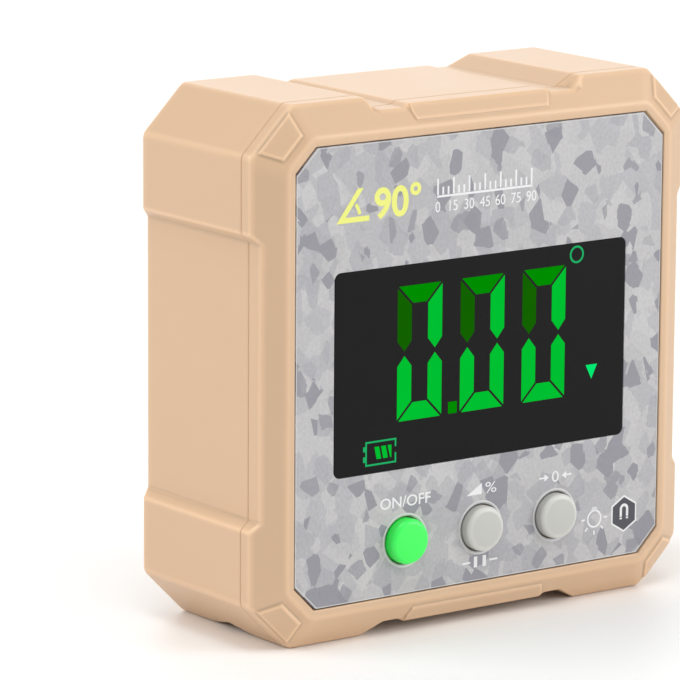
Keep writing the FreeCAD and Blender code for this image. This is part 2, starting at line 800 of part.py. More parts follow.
def zebra_connectors():
    """The two rubber strips that join the glass to the board."""
    size = (GLASS_WIDTH - 2 * S.strip_gap, BOARD_FRONT - GLASS_STEP, S.strip_width)
    strips = [block("zebra_strip", (as_size(0), at_depth(GLASS_STEP), WINDOW_RISE + level * strip_rise()),
                    size) for level in SIDES]
    return finished(group("zebra_pair", strips), "zebra_connectors")


def peg_places():
    """Where the display holder's pegs enter the board, as X and Z places."""
    reach = (GLASS_WIDTH + S.frame_wall) / 2 + S.glass_gap
    rise = GLASS_HEIGHT / 2 - S.glass_step
    return [(side * reach, WINDOW_RISE + level * rise) for side, level in CORNERS]


def lcd_frame():
    """The holder that keeps glass, light guide and strips square to the board."""
    body = new_body("frame_body")
    middle = (as_size(0), WINDOW_RISE)
    inner_width, inner_height = GLASS_WIDTH + 2 * S.glass_gap, GLASS_HEIGHT + 2 * S.glass_gap
    ring = rectangle(section(body, WALL_BACK), middle, inner_width + 2 * S.frame_wall,
                     inner_height + 2 * S.frame_wall)
    rectangle(ring, middle, inner_width, inner_height)
    pad_back(body, ring, BOARD_FRONT - WALL_BACK)
    foot = at_depth(BOARD_FRONT - SINK)
    pegs = [rod("frame_peg", (x, foot, z), S.peg_radius, S.peg_length + SINK) for x, z in peg_places()]
    return finished(fuse("frame", [body] + pegs), "lcd_frame")


# --- Circuit board --------------------------------------------------------------------------

def circuit_board():
    """The board, cut back at its corners for the case bosses."""
    body = new_body("board_body")
    half_width, half_height = S.case_width / 2 - BOARD_INSET, S.case_height / 2 - BOARD_INSET
    corner = (half_width - SCREW_X) + (half_height - SCREW_Z)
    notch = corner + ROOT_TWO * (S.boss_radius + S.board_gap)
    sheet = eight_sided(section(body, BOARD_FRONT), half_width, half_height, notch)
    pad_back(body, sheet, S.board_thickness)
    holes = section(body, BOARD_FRONT)
    for place in post_places():
        circle(holes, place, S.small_screw_radius + S.clear_gap)
    for place in peg_places():
        circle(holes, place, S.peg_radius + S.thread_gap)
    cut_back(body, holes, S.board_thickness)
    return finished(body, "circuit_board")


def board_chip(name, place, size):
    """Makes a flat component on the back of the board."""
    return block(name, (as_size(place[0]), at_depth(BOARD_BACK), place[1]), size)


def tilt_sensor():
    """The sensor that feels which way is down."""
    return finished(board_chip("sensor", (S.sensor_shift, SENSOR_RISE),
                               (S.sensor_width, S.sensor_height, S.sensor_width)), "tilt_sensor")


def microcontroller():
    """The chip that reads the sensor and drives the display."""
    return finished(board_chip("chip", (0, CHIP_RISE), (S.chip_width, S.chip_height, S.chip_width)),
                    "microcontroller")


def crystal():
    """The clock crystal beside the microcontroller."""
    return finished(board_chip("clock", (0, CRYSTAL_RISE),
                               (S.crystal_length, S.crystal_height, S.crystal_width)), "clock_crystal")


def capacitors():
    """The supply capacitors, one each side of the microcontroller."""
    items = [board_chip("capacitor", (side * S.capacitor_spread / 2, CHIP_RISE),
                        (S.capacitor_width, S.capacitor_height, S.capacitor_length)) for side in SIDES]
    return finished(group("capacitor_pair", items), "supply_capacitors")


def board_screws():
    """The four screws that hold the board to its posts."""
    sizes = (S.small_screw_radius, S.board_screw_length, S.small_head_radius, S.small_head_height)
    head_back = BOARD_BACK + S.small_head_height
    items = [screw("board_screw", place, head_back, sizes) for place in post_places()]
    return finished(group("board_screw_set", items), "board_screws")


# --- Buttons --------------------------------------------------------------------------------

def button_cap(name, x):
    """A button's cap: the part that the finger presses, with its retaining flange."""
    start = (x, at_depth(-S.cap_proud), BUTTON_RISE)
    shaft = rod(f"{name}_shaft", start, S.cap_radius, S.cap_proud + FLANGE_BACK)
    doc.recompute()
    rounded = doc.addObject("Part::Fillet", f"{name}_rounded")
    rounded.Base = shaft
    front = [index for index, edge in enumerate(shaft.Shape.Edges, start=1)
             if edge.BoundBox.YMax < start[1].value + S.cap_rounding.value]
    rounded.Edges = [(index, S.cap_rounding.value, S.cap_rounding.value) for index in front]
    flange = rod(f"{name}_flange", (x, at_depth(FLANGE_FRONT), BUTTON_RISE), S.flange_radius,
                 S.flange_thickness)
    return finished(fuse(f"{name}_cap", [rounded, flange]), f"button_{name}")


def plunger_end():
    """The depth at which a switch plunger ends when it isn't pressed."""
    return FLANGE_BACK + S.plunger_length


def switch_plunger(name, x):
    """The stem of the switch under a button, which the cap pushes in."""
    return finished(rod(f"{name}_stem", (x, at_depth(FLANGE_BACK), BUTTON_RISE), S.plunger_radius,
                        S.plunger_length), f"plunger_{name}")


def tact_switches():
    """The three switches' bodies, soldered to the front of the board."""
    front = FLANGE_BACK + S.button_travel + S.switch_gap
    bodies = []
    for x in button_places().values():
        shell = block("switch_shell", (x, at_depth(front), BUTTON_RISE),
                      (S.switch_width, BOARD_FRONT - front, S.switch_width))
        well = rod("switch_well", (x, at_depth(front), BUTTON_RISE), S.plunger_radius + S.plunger_gap,
                   plunger_end() + S.button_travel + S.plunger_gap - front)
        bodies.append(cut("switch_body", shell, well))
    return finished(group("switch_set", bodies), "tact_switches")


def button_seals():
    """The three soft rings behind the front wall that keep dust and splashes out."""
    rings = []
    for x in button_places().values():
        start = (x, at_depth(WALL_BACK), BUTTON_RISE)
        disc = rod("seal_disc", start, S.flange_radius, S.button_seal_thickness)
        hole = rod("seal_hole", start, S.cap_radius + S.guide_gap, S.button_seal_thickness)
        rings.append(cut("seal_ring", disc, hole))
    return finished(group("button_seal_set", rings), "button_seals")


# --- Battery --------------------------------------------------------------------------------

def cell_z(level):
    """The height of the upper or the lower cell's axis."""
    return MIDDLE + level * CELL_RISE


def tab_place(level):
    """Where a contact's tab passes the bay's floor, as X and Z places."""
    return (BAY_LENGTH - S.contact_thickness) / 2 - S.tab_inset, cell_z(level)


def battery(name, level):
    """One cell, with its nub at the right on the upper cell and at the left on the lower one."""
    nub_end = BAY_LENGTH / 2 - S.contact_thickness
    y, z = at_depth(CELL_DEPTH), cell_z(level)
    turn = ALONG_MINUS_X if level > 0 else ALONG_X
    nub = rod(f"{name}_nub", (level * nub_end, y, z), S.nub_radius, S.nub_length + SINK, turn)
    can = rod(f"{name}_can", (level * (nub_end - S.nub_length), y, z), S.cell_radius, S.cell_length, turn)
    return finished(fuse(f"{name}_cell", [can, nub]), name)


def battery_springs():
    """The two conical springs that press on the cells' flat ends."""
    items = []
    for level in SIDES:
        start = BAY_LENGTH / 2 - S.contact_thickness
        turn = ALONG_X if level > 0 else ALONG_MINUS_X
        coil = doc.addObject("Part::Helix", "spring_coil")
        # The wire's own thickness is taken off both ends, so that the coil just fits its space.
        length = S.spring_length - 2 * S.spring_wire
        coil.setExpression("Height", length.text)
        coil.setExpression("Pitch", (length / S.spring_turns).text)
        coil.setExpression("Radius", S.spring_radius.text)
        lean = (S.spring_radius - S.spring_tip_radius) / length
        coil.setExpression("Angle", f"-atan({lean.text})")
        # Each turn is an edge of its own, so each has its own face, which meshes well.
        coil.SegmentLength = 1
        wire = doc.addObject("Part::Circle", "spring_wire")
        wire.setExpression("Radius", S.spring_wire.text)
        wire.Placement = FreeCAD.Placement(FreeCAD.Vector(0, 0, 0), FreeCAD.Rotation(RIGHT, 90))
        place_at(wire, S.spring_radius, 0, 0)
        doc.recompute()
        turns = [f"Edge{index + 1}" for index in range(len(coil.Shape.Edges))]
        sweep = doc.addObject("Part::Sweep", "spring_sweep")
        sweep.Sections, sweep.Spine = [wire], (coil, turns)
        sweep.Solid, sweep.Frenet = True, True
        sweep.Placement = FreeCAD.Placement(FreeCAD.Vector(0, 0, 0), turn)
        place_at(sweep, level * (S.spring_wire - start), at_depth(CELL_DEPTH), cell_z(level))
        items.append(sweep)
    return finished(group("spring_pair", items), "battery_springs")


def bridge_plate():
    """The plate at the left that joins the two cells in series."""
    x = (S.contact_thickness - BAY_LENGTH) / 2
    size = (S.contact_thickness, S.contact_width, 2 * CELL_RISE + S.contact_width)
    return finished(block("bridge", (x, at_depth(CELL_DEPTH) - S.contact_width / 2, MIDDLE), size),
                    "battery_bridge_plate")


def contact_plates():
    """The two plates at the right. Each has a neck, a foot on the bay's floor, and a tab to the board."""
    plates = []
    thickness, width = S.contact_thickness, S.tab_width
    floor, face_front = at_depth(BAY_BACK), at_depth(CELL_DEPTH) - S.contact_width / 2
    for level in SIDES:
        tab_x, z = tab_place(level)
        x = tab_x + S.tab_inset
        face = block("contact_face", (x, face_front, z), (thickness, S.contact_width, S.contact_width))
        neck = block("contact_neck", (x, floor, z), (thickness, face_front - floor + SINK, width))
        foot = block("contact_foot", ((x + tab_x) / 2, floor, z),
                     (S.tab_inset + thickness, thickness, width))
        tab = block("contact_tab", (tab_x, at_depth(BOARD_BACK), z),
                    (thickness, floor - at_depth(BOARD_BACK) + thickness, width))
        plates.append(fuse("contact", [face, neck, foot, tab]))
    return finished(group("contact_pair", plates), "battery_contact_plates")


def battery_cover():
    """The cover over the battery bay, let flush into the back."""
    body = new_body("cover_body")
    middle = (as_size(0), MIDDLE)
    pad_back(body, rounded_rectangle(section(body, COVER_INSIDE), middle, COVER_WIDTH, COVER_HEIGHT,
                                     S.cover_radius), S.cover_thickness)
    holes, heads = section(body, COVER_INSIDE), section(body, S.case_depth)
    for place in cover_screw_places():
        circle(holes, place, S.small_screw_radius + S.clear_gap)
        circle(heads, place, S.small_head_radius + S.clear_gap)
    cut_back(body, holes, S.cover_thickness)
    cut_forward(body, heads, S.small_head_height)
    return finished(body, "battery_cover")


def cover_seal():
    """The soft ring under the battery cover."""
    body = new_body("cover_seal_body")
    middle = (as_size(0), MIDDLE)
    inset = 2 * S.cover_seal_margin
    seat = COVER_INSIDE - S.cover_seal_thickness
    ring = rounded_rectangle(section(body, seat), middle, COVER_WIDTH - inset, COVER_HEIGHT - inset,
                             S.cover_radius - S.cover_seal_margin)
    rectangle(ring, middle, BAY_LENGTH + inset, BAY_HEIGHT + inset)
    pad_back(body, ring, S.cover_seal_thickness)
    holes = section(body, seat)
    for place in cover_screw_places():
        circle(holes, place, S.small_screw_radius + S.clear_gap)
    cut_back(body, holes, S.cover_seal_thickness)
    return finished(body, "battery_cover_seal")


def cover_screws():
    """The four screws that stay in the battery cover."""
    sizes = (S.small_screw_radius, S.cover_screw_length, S.small_head_radius, S.small_head_height)
    items = [screw("cover_screw", place, S.case_depth, sizes) for place in cover_screw_places()]
    return finished(group("cover_screw_set", items), "battery_cover_screws")


def housing_screws():
    """The four long screws that close the case from behind."""
    sizes = (S.case_screw_radius, S.case_screw_length, S.case_head_radius, S.case_head_height)
    head_back = S.well_seat + S.case_head_height
    items = [screw("case_screw", place, head_back, sizes) for place in screw_places()]
    return finished(group("case_screw_set", items), "housing_screws")


def base_magnets():
    """The two disc magnets in the base."""
    upright = FreeCAD.Rotation()
    items = [rod("magnet", (side * BUMPER_MIDDLE, at_depth(GROOVE_DEPTH_IN), S.magnet_recess),
                 S.magnet_radius, S.magnet_thickness, upright) for side in SIDES]
    return finished(group("magnet_pair", items), "base_magnets")


# --- Assembly -------------------------------------------------------------------------------

def build_all():
    """Builds every sub-part and gives them as a list."""
    pieces = [front_bezel(), main_housing(), housing_seal(), faceplate(), display_window(),
              display_gasket(), lcd_panel(), backlight_panel(), zebra_connectors(), lcd_frame(),
              circuit_board(), tilt_sensor(), microcontroller(), crystal(), capacitors(),
              board_screws(), tact_switches(), button_seals(), battery_springs(), bridge_plate(),
              contact_plates(), battery_cover(), cover_seal(), cover_screws(), housing_screws(),
              base_magnets(), battery("battery_upper", 1), battery("battery_lower", -1)]
    for name, x in button_places().items():
        pieces += [button_cap(name, x), switch_plunger(name, x)]
    return pieces


def check_all(pieces):
    """Stops if any object failed to build, or a sub-part's shape isn't sound."""
    for item in doc.Objects:
        if "Invalid" in item.State or "Error" in item.State:
            raise RuntimeError(f"{item.Name} didn't build: {item.State}")
    for piece in pieces:
        if piece.Shape.isNull() or not piece.Shape.isValid() or not piece.Shape.Solids:
            raise RuntimeError(f"{piece.Label} has no sound solid")


def write_all(pieces):
    """Writes each sub-part to a STEP file of its own."""
    os.makedirs("parts", exist_ok=True)
    for piece in pieces:
        piece.Shape.exportStep(f"parts/{piece.Label}.step")
        print(f"{piece.Label:24s} solids {len(piece.Shape.Solids)}  volume {piece.Shape.Volume:9.2f} mm3")


all_pieces = build_all()
doc.recompute()
check_all(all_pieces)
write_all(all_pieces)
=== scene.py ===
"""Dresses a digital inclinometer: soft case shells, printed face, lit display, buttons and fittings.

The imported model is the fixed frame. Shapes are worked out in millimetres, from the frame's own boxes,
and are turned into metres when a mesh is made. +Z is up and the display faces -Y.
"""

import logging
import math
from dataclasses import dataclass, field
from enum import Enum
from typing import Callable, Iterable, Sequence

import bmesh
import bpy
import numpy as np
from mathutils import Matrix, Vector


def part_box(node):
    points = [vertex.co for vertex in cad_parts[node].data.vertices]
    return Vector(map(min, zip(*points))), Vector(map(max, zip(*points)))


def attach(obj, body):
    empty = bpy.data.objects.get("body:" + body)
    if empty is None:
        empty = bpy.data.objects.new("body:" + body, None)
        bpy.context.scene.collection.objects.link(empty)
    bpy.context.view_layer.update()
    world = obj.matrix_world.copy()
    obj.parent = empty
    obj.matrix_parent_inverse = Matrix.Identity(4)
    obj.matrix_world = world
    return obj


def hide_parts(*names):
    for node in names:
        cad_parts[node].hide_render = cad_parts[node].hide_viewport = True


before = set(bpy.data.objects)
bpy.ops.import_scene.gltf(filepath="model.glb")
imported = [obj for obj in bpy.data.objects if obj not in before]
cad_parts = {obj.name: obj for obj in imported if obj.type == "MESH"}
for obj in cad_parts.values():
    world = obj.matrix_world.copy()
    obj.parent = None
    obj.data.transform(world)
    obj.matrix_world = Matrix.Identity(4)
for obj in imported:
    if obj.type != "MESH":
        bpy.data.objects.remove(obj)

log = logging.getLogger("inclinometer")

MILLIMETRE = 0.001
TO_METRES = Matrix.Scale(MILLIMETRE, 4)
SEAM = 0.0005
FORWARD, BACKWARD, UPWARD = Vector((0, -1, 0)), Vector((0, 1, 0)), Vector((0, 0, 1))

Colour = tuple[float, float, float]
Point = tuple[float, float]
Loop = list[Point]


# --- Measures from the frame ---

@dataclass(frozen=True)
class Box:
    """A box in millimetres, with its lowest and highest corners."""

    low: Vector
    high: Vector

    @classmethod
    def of(cls, node: str) -> "Box":
        """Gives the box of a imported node."""
        low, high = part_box(node)
        return cls(low / MILLIMETRE, high / MILLIMETRE)

    @property
    def middle(self) -> Vector:
        """The box's middle."""
        return (self.low + self.high) / 2

    @property
    def size(self) -> Vector:
        """The box's three lengths."""
        return self.high - self.low


# --- Shader expressions ---

def maths(operation: str, reflected: bool = False) -> Callable[["Wire", "Wire | float"], "Wire"]:
    """Makes an operator for wires, reflected where the wire stands on the right.

    Args:
        operation: The Math node's operation.
        reflected: Whether the wire stands on the operator's right.

    Returns:
        The operator.
    """

    def operator(wire: "Wire", other: "Wire | float") -> "Wire":
        """Adds a Math node for the wire and the other value."""
        first, second = (other, wire) if reflected else (wire, other)
        return wire.painter.node("ShaderNodeMath", {"operation": operation}, {0: first, 1: second})

    return operator


class Wire:
    """One output of a shader node. Arithmetic on it adds Math nodes."""

    __add__, __radd__ = maths("ADD"), maths("ADD", True)
    __sub__, __rsub__ = maths("SUBTRACT"), maths("SUBTRACT", True)
    __mul__, __rmul__ = maths("MULTIPLY"), maths("MULTIPLY", True)
    __gt__ = maths("GREATER_THAN")

    def __init__(self, painter: "Painter", node: bpy.types.Node, output: int | str) -> None:
        """Keeps a node of the painter's tree, and which of its outputs is meant."""
        self.painter, self.node, self.output = painter, node, output

    @property
    def socket(self) -> bpy.types.NodeSocket:
        """The output's socket."""
        return self.node.outputs[self.output]

    def other(self, name: str) -> "Wire":
        """Gives another output of the same node."""
        return Wire(self.painter, self.node, name)


class Painter:
    """Builds the node tree of one material."""

    def __init__(self, name: str) -> None:
        """Starts an empty material.

        Args:
            name: The material's name.
        """
        self.material = bpy.data.materials.new(name)
        self.material.use_nodes = True
        self.tree = self.material.node_tree
        self.tree.nodes.clear()

    def node(self, kind: str, settings: dict | None = None, inputs: dict | None = None,
             output: int | str = 0) -> Wire:
        """Adds a node.

        Args:
            kind: The node's type.
            settings: What is set on the node before its sockets.
            inputs: Values or wires, by the socket's name or number.
            output: The output to give back, by name or number.

        Returns:
            The chosen output as a wire.
        """
        made = self.tree.nodes.new(kind)
        for key, value in (settings or {}).items():
            setattr(made, key, value)
        for key, value in (inputs or {}).items():
            self.feed(made.inputs[key], value)
        return Wire(self, made, output)

    def feed(self, socket: bpy.types.NodeSocket, value: object) -> None:
        """Links a wire to a socket, or sets the socket to a number or colour.

        Args:
            socket: The input socket.
            value: What it gets.
        """
        if isinstance(value, Wire):
            self.tree.links.new(value.socket, socket)
        elif isinstance(value, tuple) and len(value) == 3 and socket.type == "RGBA":
            socket.default_value = (*value, 1.0)
        else:
            socket.default_value = value

    def place(self, stretch: Sequence[float] = (1.0, 1.0, 1.0)) -> Wire:
        """Gives the place on the object in millimetres, stretched along each axis.

        Args:
            stretch: How much the place is stretched along X, Y and Z.

        Returns:
            The place as a vector.
        """
        spot = self.node("ShaderNodeTexCoord", output="Object")
        scale = tuple(share / MILLIMETRE for share in stretch)
        return self.node("ShaderNodeVectorMath", {"operation": "MULTIPLY"}, {0: spot, 1: scale})

    def noise(self, size: float, detail: float = 2.0, place: Wire | None = None) -> Wire:
        """Gives cloudy noise from 0 to 1.

        Args:
            size: The size of a blot in millimetres.
            detail: How many finer layers are added.
            place: The coordinates, if not the plain ones.

        Returns:
            The noise as a value.
        """
        inputs = {"Vector": place or self.place(), "Scale": 1.0 / size, "Detail": detail}
        return self.node("ShaderNodeTexNoise", None, inputs, "Fac")

    def cells(self, size: float, place: Wire, feature: str = "F1", jitter: float = 1.0) -> Wire:
        """Gives a cell pattern, whose other outputs hold its distances and colours."""
        inputs = {"Vector": place, "Scale": 1.0 / size, "Randomness": jitter}
        return self.node("ShaderNodeTexVoronoi", {"feature": feature}, inputs)

    def remap(self, value: Wire, low: float, high: float, start: float, end: float) -> Wire:
        """Maps a value's run from low to high onto one from start to end."""
        return self.node("ShaderNodeMapRange", None, dict(enumerate((value, low, high, start, end))))

    def blend(self, share: Wire | float, first: Wire | Colour, second: Wire | Colour,
              mode: str = "MIX") -> Wire:
        """Mixes two colours by a share of the second."""
        settings = {"data_type": "RGBA", "blend_type": mode}
        return self.node("ShaderNodeMix", settings, {0: share, 6: first, 7: second}, 2)

    def shade(self, share: Wire, colour: Colour, spread: float) -> Wire:
        """Varies one colour from a darker to a lighter form of itself.

        Args:
            share: How far towards the lighter form.
            colour: The colour.
            spread: How much darker and lighter it gets, as a share of itself.

        Returns:
            The varied colour.
        """
        darker = tuple(part * (1 - spread) for part in colour)
        lighter = tuple(min(1.0, part * (1 + spread)) for part in colour)
        return self.blend(share, darker, lighter)

    def relief(self, height: Wire, depth: float) -> Wire:
        """Turns a height from 0 to 1 into a bumpy normal. The depth is in millimetres."""
        return self.node("ShaderNodeBump", None, {"Height": height, "Distance": depth * MILLIMETRE})

    def finish(self, **sockets: object) -> bpy.types.Material:
        """Adds the surface shader and the output.

        Args:
            sockets: The surface's values or wires, by socket name with underscores for spaces.

        Returns:
            The material.
        """
        inputs = {key.replace("_", " "): value for key, value in sockets.items()}
        surface = self.node("ShaderNodeBsdfPrincipled", None, inputs)
        self.node("ShaderNodeOutputMaterial", None, {"Surface": surface})
        return self.material


# --- Finishes ---

@dataclass(frozen=True)
class Finish:
    """What a piece is made of. Each finish builds its material once."""

    name: str

    def paint(self, painter: Painter) -> bpy.types.Material:
        """Builds the material's nodes."""
        raise NotImplementedError

    @property
    def material(self) -> bpy.types.Material:
        """The finish's material, built when it is first asked for."""
        name = f"{self.name}_finish"
        return bpy.data.materials.get(name) or self.paint(Painter(name))


@dataclass(frozen=True)
class MouldedPlastic(Finish):
    """Satin moulded plastic with a fine spark-eroded grain and soft, cloudy changes of shade, and where
    asked, painted highlights on outer edges and painted shade in creases.
    """

    colour: Colour
    roughness: float = 0.42
    grain: float = 0.16
    grain_depth: float = 0.004
    spread: float = 0.02
    coat: float = 0.0
    # Share of painted highlight on outer edges and painted shade in creases.
    painted_edge_light: float = 0.0

    def paint(self, painter: Painter) -> bpy.types.Material:
        """Builds the plastic's nodes.

        Args:
            painter: The material's painter.

        Returns:
            The material.
        """
        cloud = painter.noise(9.0, 3.0)
        grain = painter.noise(self.grain, 3.0)
        height = 0.85 * grain + 0.15 * painter.noise(2.2)
        colour = painter.shade(0.7 * cloud + 0.3 * grain, self.colour, self.spread)
        return painter.finish(Base_Color=self.paint_edge_light(painter, colour) if self.painted_edge_light else colour,
                              Roughness=(self.roughness - 0.05) + 0.1 * cloud,
                              Normal=painter.relief(height, self.grain_depth),
                              Coat_Weight=self.coat, Coat_Roughness=0.2)

    def paint_edge_light(self, painter: Painter, colour: Wire) -> Wire:
        """Paints a highlight on outer edges and a shade in inner ones, as paler and darker colour.

        Args:
            painter: The material's painter.
            colour: The colour on flat parts.

        Returns:
            The edged colour.
        """
        bend = painter.node("ShaderNodeAttribute", {"attribute_name": "bend"}, output="Fac")
        # Painted highlight (paler) where the mesh bends outwards, painted shade (darker) where it bends
        # inwards.
        for level, tone in ((1.0, 1.3), (-1.0, 0.8)):
            share = painter.remap(bend, 0.0, level, 0.0, self.painted_edge_light)
            colour = painter.blend(share, colour, tuple(min(1.0, part * tone) for part in self.colour))
        return colour


@dataclass(frozen=True)
class BrokenStonePrint(Finish):
    """A printed camouflage of pale, mid and dark grey fragments under a satin clear film.

    Each layer of fragments has a size, a shift and a stretch.
    """

    base: Colour = (0.455, 0.447, 0.453)
    pale: Colour = (0.516, 0.507, 0.51)
    mid: Colour = (0.357, 0.351, 0.378)
    dark: Colour = (0.239, 0.236, 0.27)
    broad: tuple[float, float, float] = (3.1, 3.0, 1.0)
    veil: tuple[float, float, float] = (2.3, 29.0, 0.85)
    stones: tuple[float, float, float] = (1.95, 17.0, 0.9)
    chips: tuple[float, float, float] = (1.5, 41.0, 0.85)
    weave: float = 0.3

    def fragments(self, painter: Painter, size: float, shift: float, stretch: float) -> Wire:
        """Gives a random value for each fragment of a broken-stone layer.

        Args:
            painter: The material's painter.
            size: The size of a fragment in millimetres.
            shift: How far the layer is moved, so that no two layers agree.
            stretch: How far fragments are flattened.

        Returns:
            A value from 0 to 1, the same all over one fragment.
        """
        flat = painter.place((1.0, 0.0, stretch))
        moved = painter.node("ShaderNodeVectorMath", {"operation": "ADD"}, {0: flat, 1: (shift, 0, shift)})
        bend = painter.cells(size * 1.3, moved).other("Color")
        pushed = painter.node("ShaderNodeVectorMath", {"operation": "MULTIPLY_ADD"},
                              {0: bend, 1: (size * 0.12,) * 3, 2: moved})
        pieces = painter.cells(size, pushed).other("Color")
        return painter.node("ShaderNodeSeparateColor", None, {0: pieces})

    def paint(self, painter: Painter) -> bpy.types.Material:
        """Builds the print's nodes.

        Args:
            painter: The material's painter.

        Returns:
            The material.
        """
        broad, veil, stones, chips = (self.fragments(painter, *layer) for layer in
                                      (self.broad, self.veil, self.stones, self.chips))
        weave = painter.noise(self.weave, 3.0, painter.place((1.0, 1.0, 0.7)))
        ground = painter.blend(broad, self.base, self.pale)
        for share, ink in ((0.5 * (veil > 0.56), self.mid), (0.7 * (stones > 0.66), self.mid),
                           ((stones > 0.85) * (0.3 + 1.1 * weave), self.dark),
                           ((chips > 0.95) * (0.2 + 1.0 * weave), self.dark)):
            ground = painter.blend(share, ground, ink)
        grainy = painter.blend(weave, (0.36, 0.36, 0.36), (0.64, 0.64, 0.64))
        return painter.finish(Base_Color=painter.blend(0.7, ground, grainy, "OVERLAY"),
                              Roughness=0.36 + 0.1 * weave,
                              Normal=painter.relief(painter.noise(self.weave), 0.0025),
                              Coat_Weight=0.12, Coat_Roughness=0.25)


@dataclass(frozen=True)
class Ink(Finish):
    """Opaque screen-printed ink, slightly uneven."""

    colour: Colour

    def paint(self, painter: Painter) -> bpy.types.Material:
        """Builds the ink's nodes.

        Args:
            painter: The material's painter.

        Returns:
            The material.
        """
        uneven = painter.noise(0.25, 3.0)
        return painter.finish(Base_Color=painter.shade(uneven, self.colour, 0.04),
                              Roughness=0.42 + 0.12 * uneven,
                              Normal=painter.relief(uneven, 0.002))


@dataclass(frozen=True)
class LitSegment(Finish):
    """A display segment with its green light behind it."""

    colour: Colour
    strength: float = 1.0

    def paint(self, painter: Painter) -> bpy.types.Material:
        """Builds the segment's nodes.

        Args:
            painter: The material's painter.

        Returns:
            The material.
        """
        glow = painter.noise(7.0, 1.0)
        body = tuple(0.05 * part for part in self.colour)
        return painter.finish(Base_Color=painter.shade(glow, body, 0.1),
                              Emission_Color=painter.shade(glow, self.colour, 0.05),
                              Emission_Strength=self.strength, Roughness=0.5 + 0.05 * glow,
                              Specular_IOR_Level=0.0)


@dataclass(frozen=True)
class DarkLens(Finish):
    """A smoked display lens with a hard coat."""

    colour: Colour = (0.009, 0.009, 0.009)

    def paint(self, painter: Painter) -> bpy.types.Material:
        """Builds the lens's nodes.

        Args:
            painter: The material's painter.

        Returns:
            The material.
        """
        smear = painter.noise(6.0)
        return painter.finish(Base_Color=painter.shade(smear, self.colour, 0.06),
                              Roughness=0.3 + 0.05 * smear,
                              Specular_IOR_Level=0.07,
                              Normal=painter.relief(painter.noise(3.0, 1.0), 0.001))


@dataclass(frozen=True)
class Metal(Finish):
    """Bare or plated metal with fine drawing marks."""

    colour: Colour
    roughness: float = 0.25
    marks: Sequence[float] = (1.0, 1.0, 1.0)
    tarnish: float = 0.06

    def paint(self, painter: Painter) -> bpy.types.Material:
        """Builds the metal's nodes.

        Args:
            painter: The material's painter.

        Returns:
            The material.
        """
        marks = painter.noise(0.12, 3.0, painter.place(self.marks))
        cloud = painter.noise(2.5, 3.0)
        return painter.finish(Base_Color=painter.shade(cloud, self.colour, self.tarnish), Metallic=1.0,
                              Roughness=(self.roughness - 0.06) + 0.08 * marks + 0.06 * cloud,
                              Normal=painter.relief(marks, 0.002))


@dataclass(frozen=True)
class Rubber(Finish):
    """Soft matt rubber or foam with a fine open grain."""

    colour: Colour
    grain: float = 0.2
    grain_depth: float = 0.012

    def paint(self, painter: Painter) -> bpy.types.Material:
        """Builds the rubber's nodes.

        Args:
            painter: The material's painter.

        Returns:
            The material.
        """
        grain = painter.noise(self.grain, 4.0)
        return painter.finish(Base_Color=painter.shade(grain, self.colour, 0.12),
                              Roughness=0.72 + 0.14 * grain,
                              Normal=painter.relief(grain, self.grain_depth))


@dataclass(frozen=True)
class BoardLacquer(Finish):
    """Green solder lacquer over copper tracks, seen as faintly raised, lighter lines."""

    colour: Colour = (0.012, 0.13, 0.045)
    track: Colour = (0.03, 0.26, 0.09)

    def paint(self, painter: Painter) -> bpy.types.Material:
        """Builds the lacquer's nodes.

        Args:
            painter: The material's painter.

        Returns:
            The material.
        """
        blocks = painter.cells(2.4, painter.place(), "DISTANCE_TO_EDGE", 0.35)
        line = painter.remap(blocks, 0.05, 0.09, 1.0, 0.0)
        return painter.finish(Base_Color=painter.blend(line, self.colour, self.track),
                              Roughness=0.28 + 0.1 * painter.noise(0.6),
                              Normal=painter.relief(line, 0.02), Coat_Weight=0.4)


@dataclass(frozen=True)
class Striped(Finish):
    """Conducting and plain rubber in fine layers."""

    pale: Colour = (0.55, 0.52, 0.5)
    dark: Colour = (0.03, 0.03, 0.03)

    def paint(self, painter: Painter) -> bpy.types.Material:
        """Builds the stripes' nodes.

        Args:
            painter: The material's painter.

        Returns:
            The material.
        """
        wave = painter.node("ShaderNodeTexWave", {"wave_type": "BANDS", "bands_direction": "X"},
                            {"Vector": painter.place(), "Scale": 3.0, "Distortion": 0.2}, "Fac")
        return painter.finish(Base_Color=painter.blend(wave > 0.5, self.pale, self.dark),
                              Roughness=0.6 + 0.1 * wave, Normal=painter.relief(wave, 0.01))


@dataclass(frozen=True)
class ClearSheet(Finish):
    """Display glass or a light guide: hard and smooth, with a faint tint."""

    colour: Colour
    roughness: float = 0.08

    def paint(self, painter: Painter) -> bpy.types.Material:
        """Builds the sheet's nodes.

        Args:
            painter: The material's painter.

        Returns:
            The material.
        """
        cloud = painter.noise(4.0)
        return painter.finish(Base_Color=painter.shade(cloud, self.colour, 0.05),
                              Roughness=self.roughness + 0.04 * cloud, Coat_Weight=0.5)


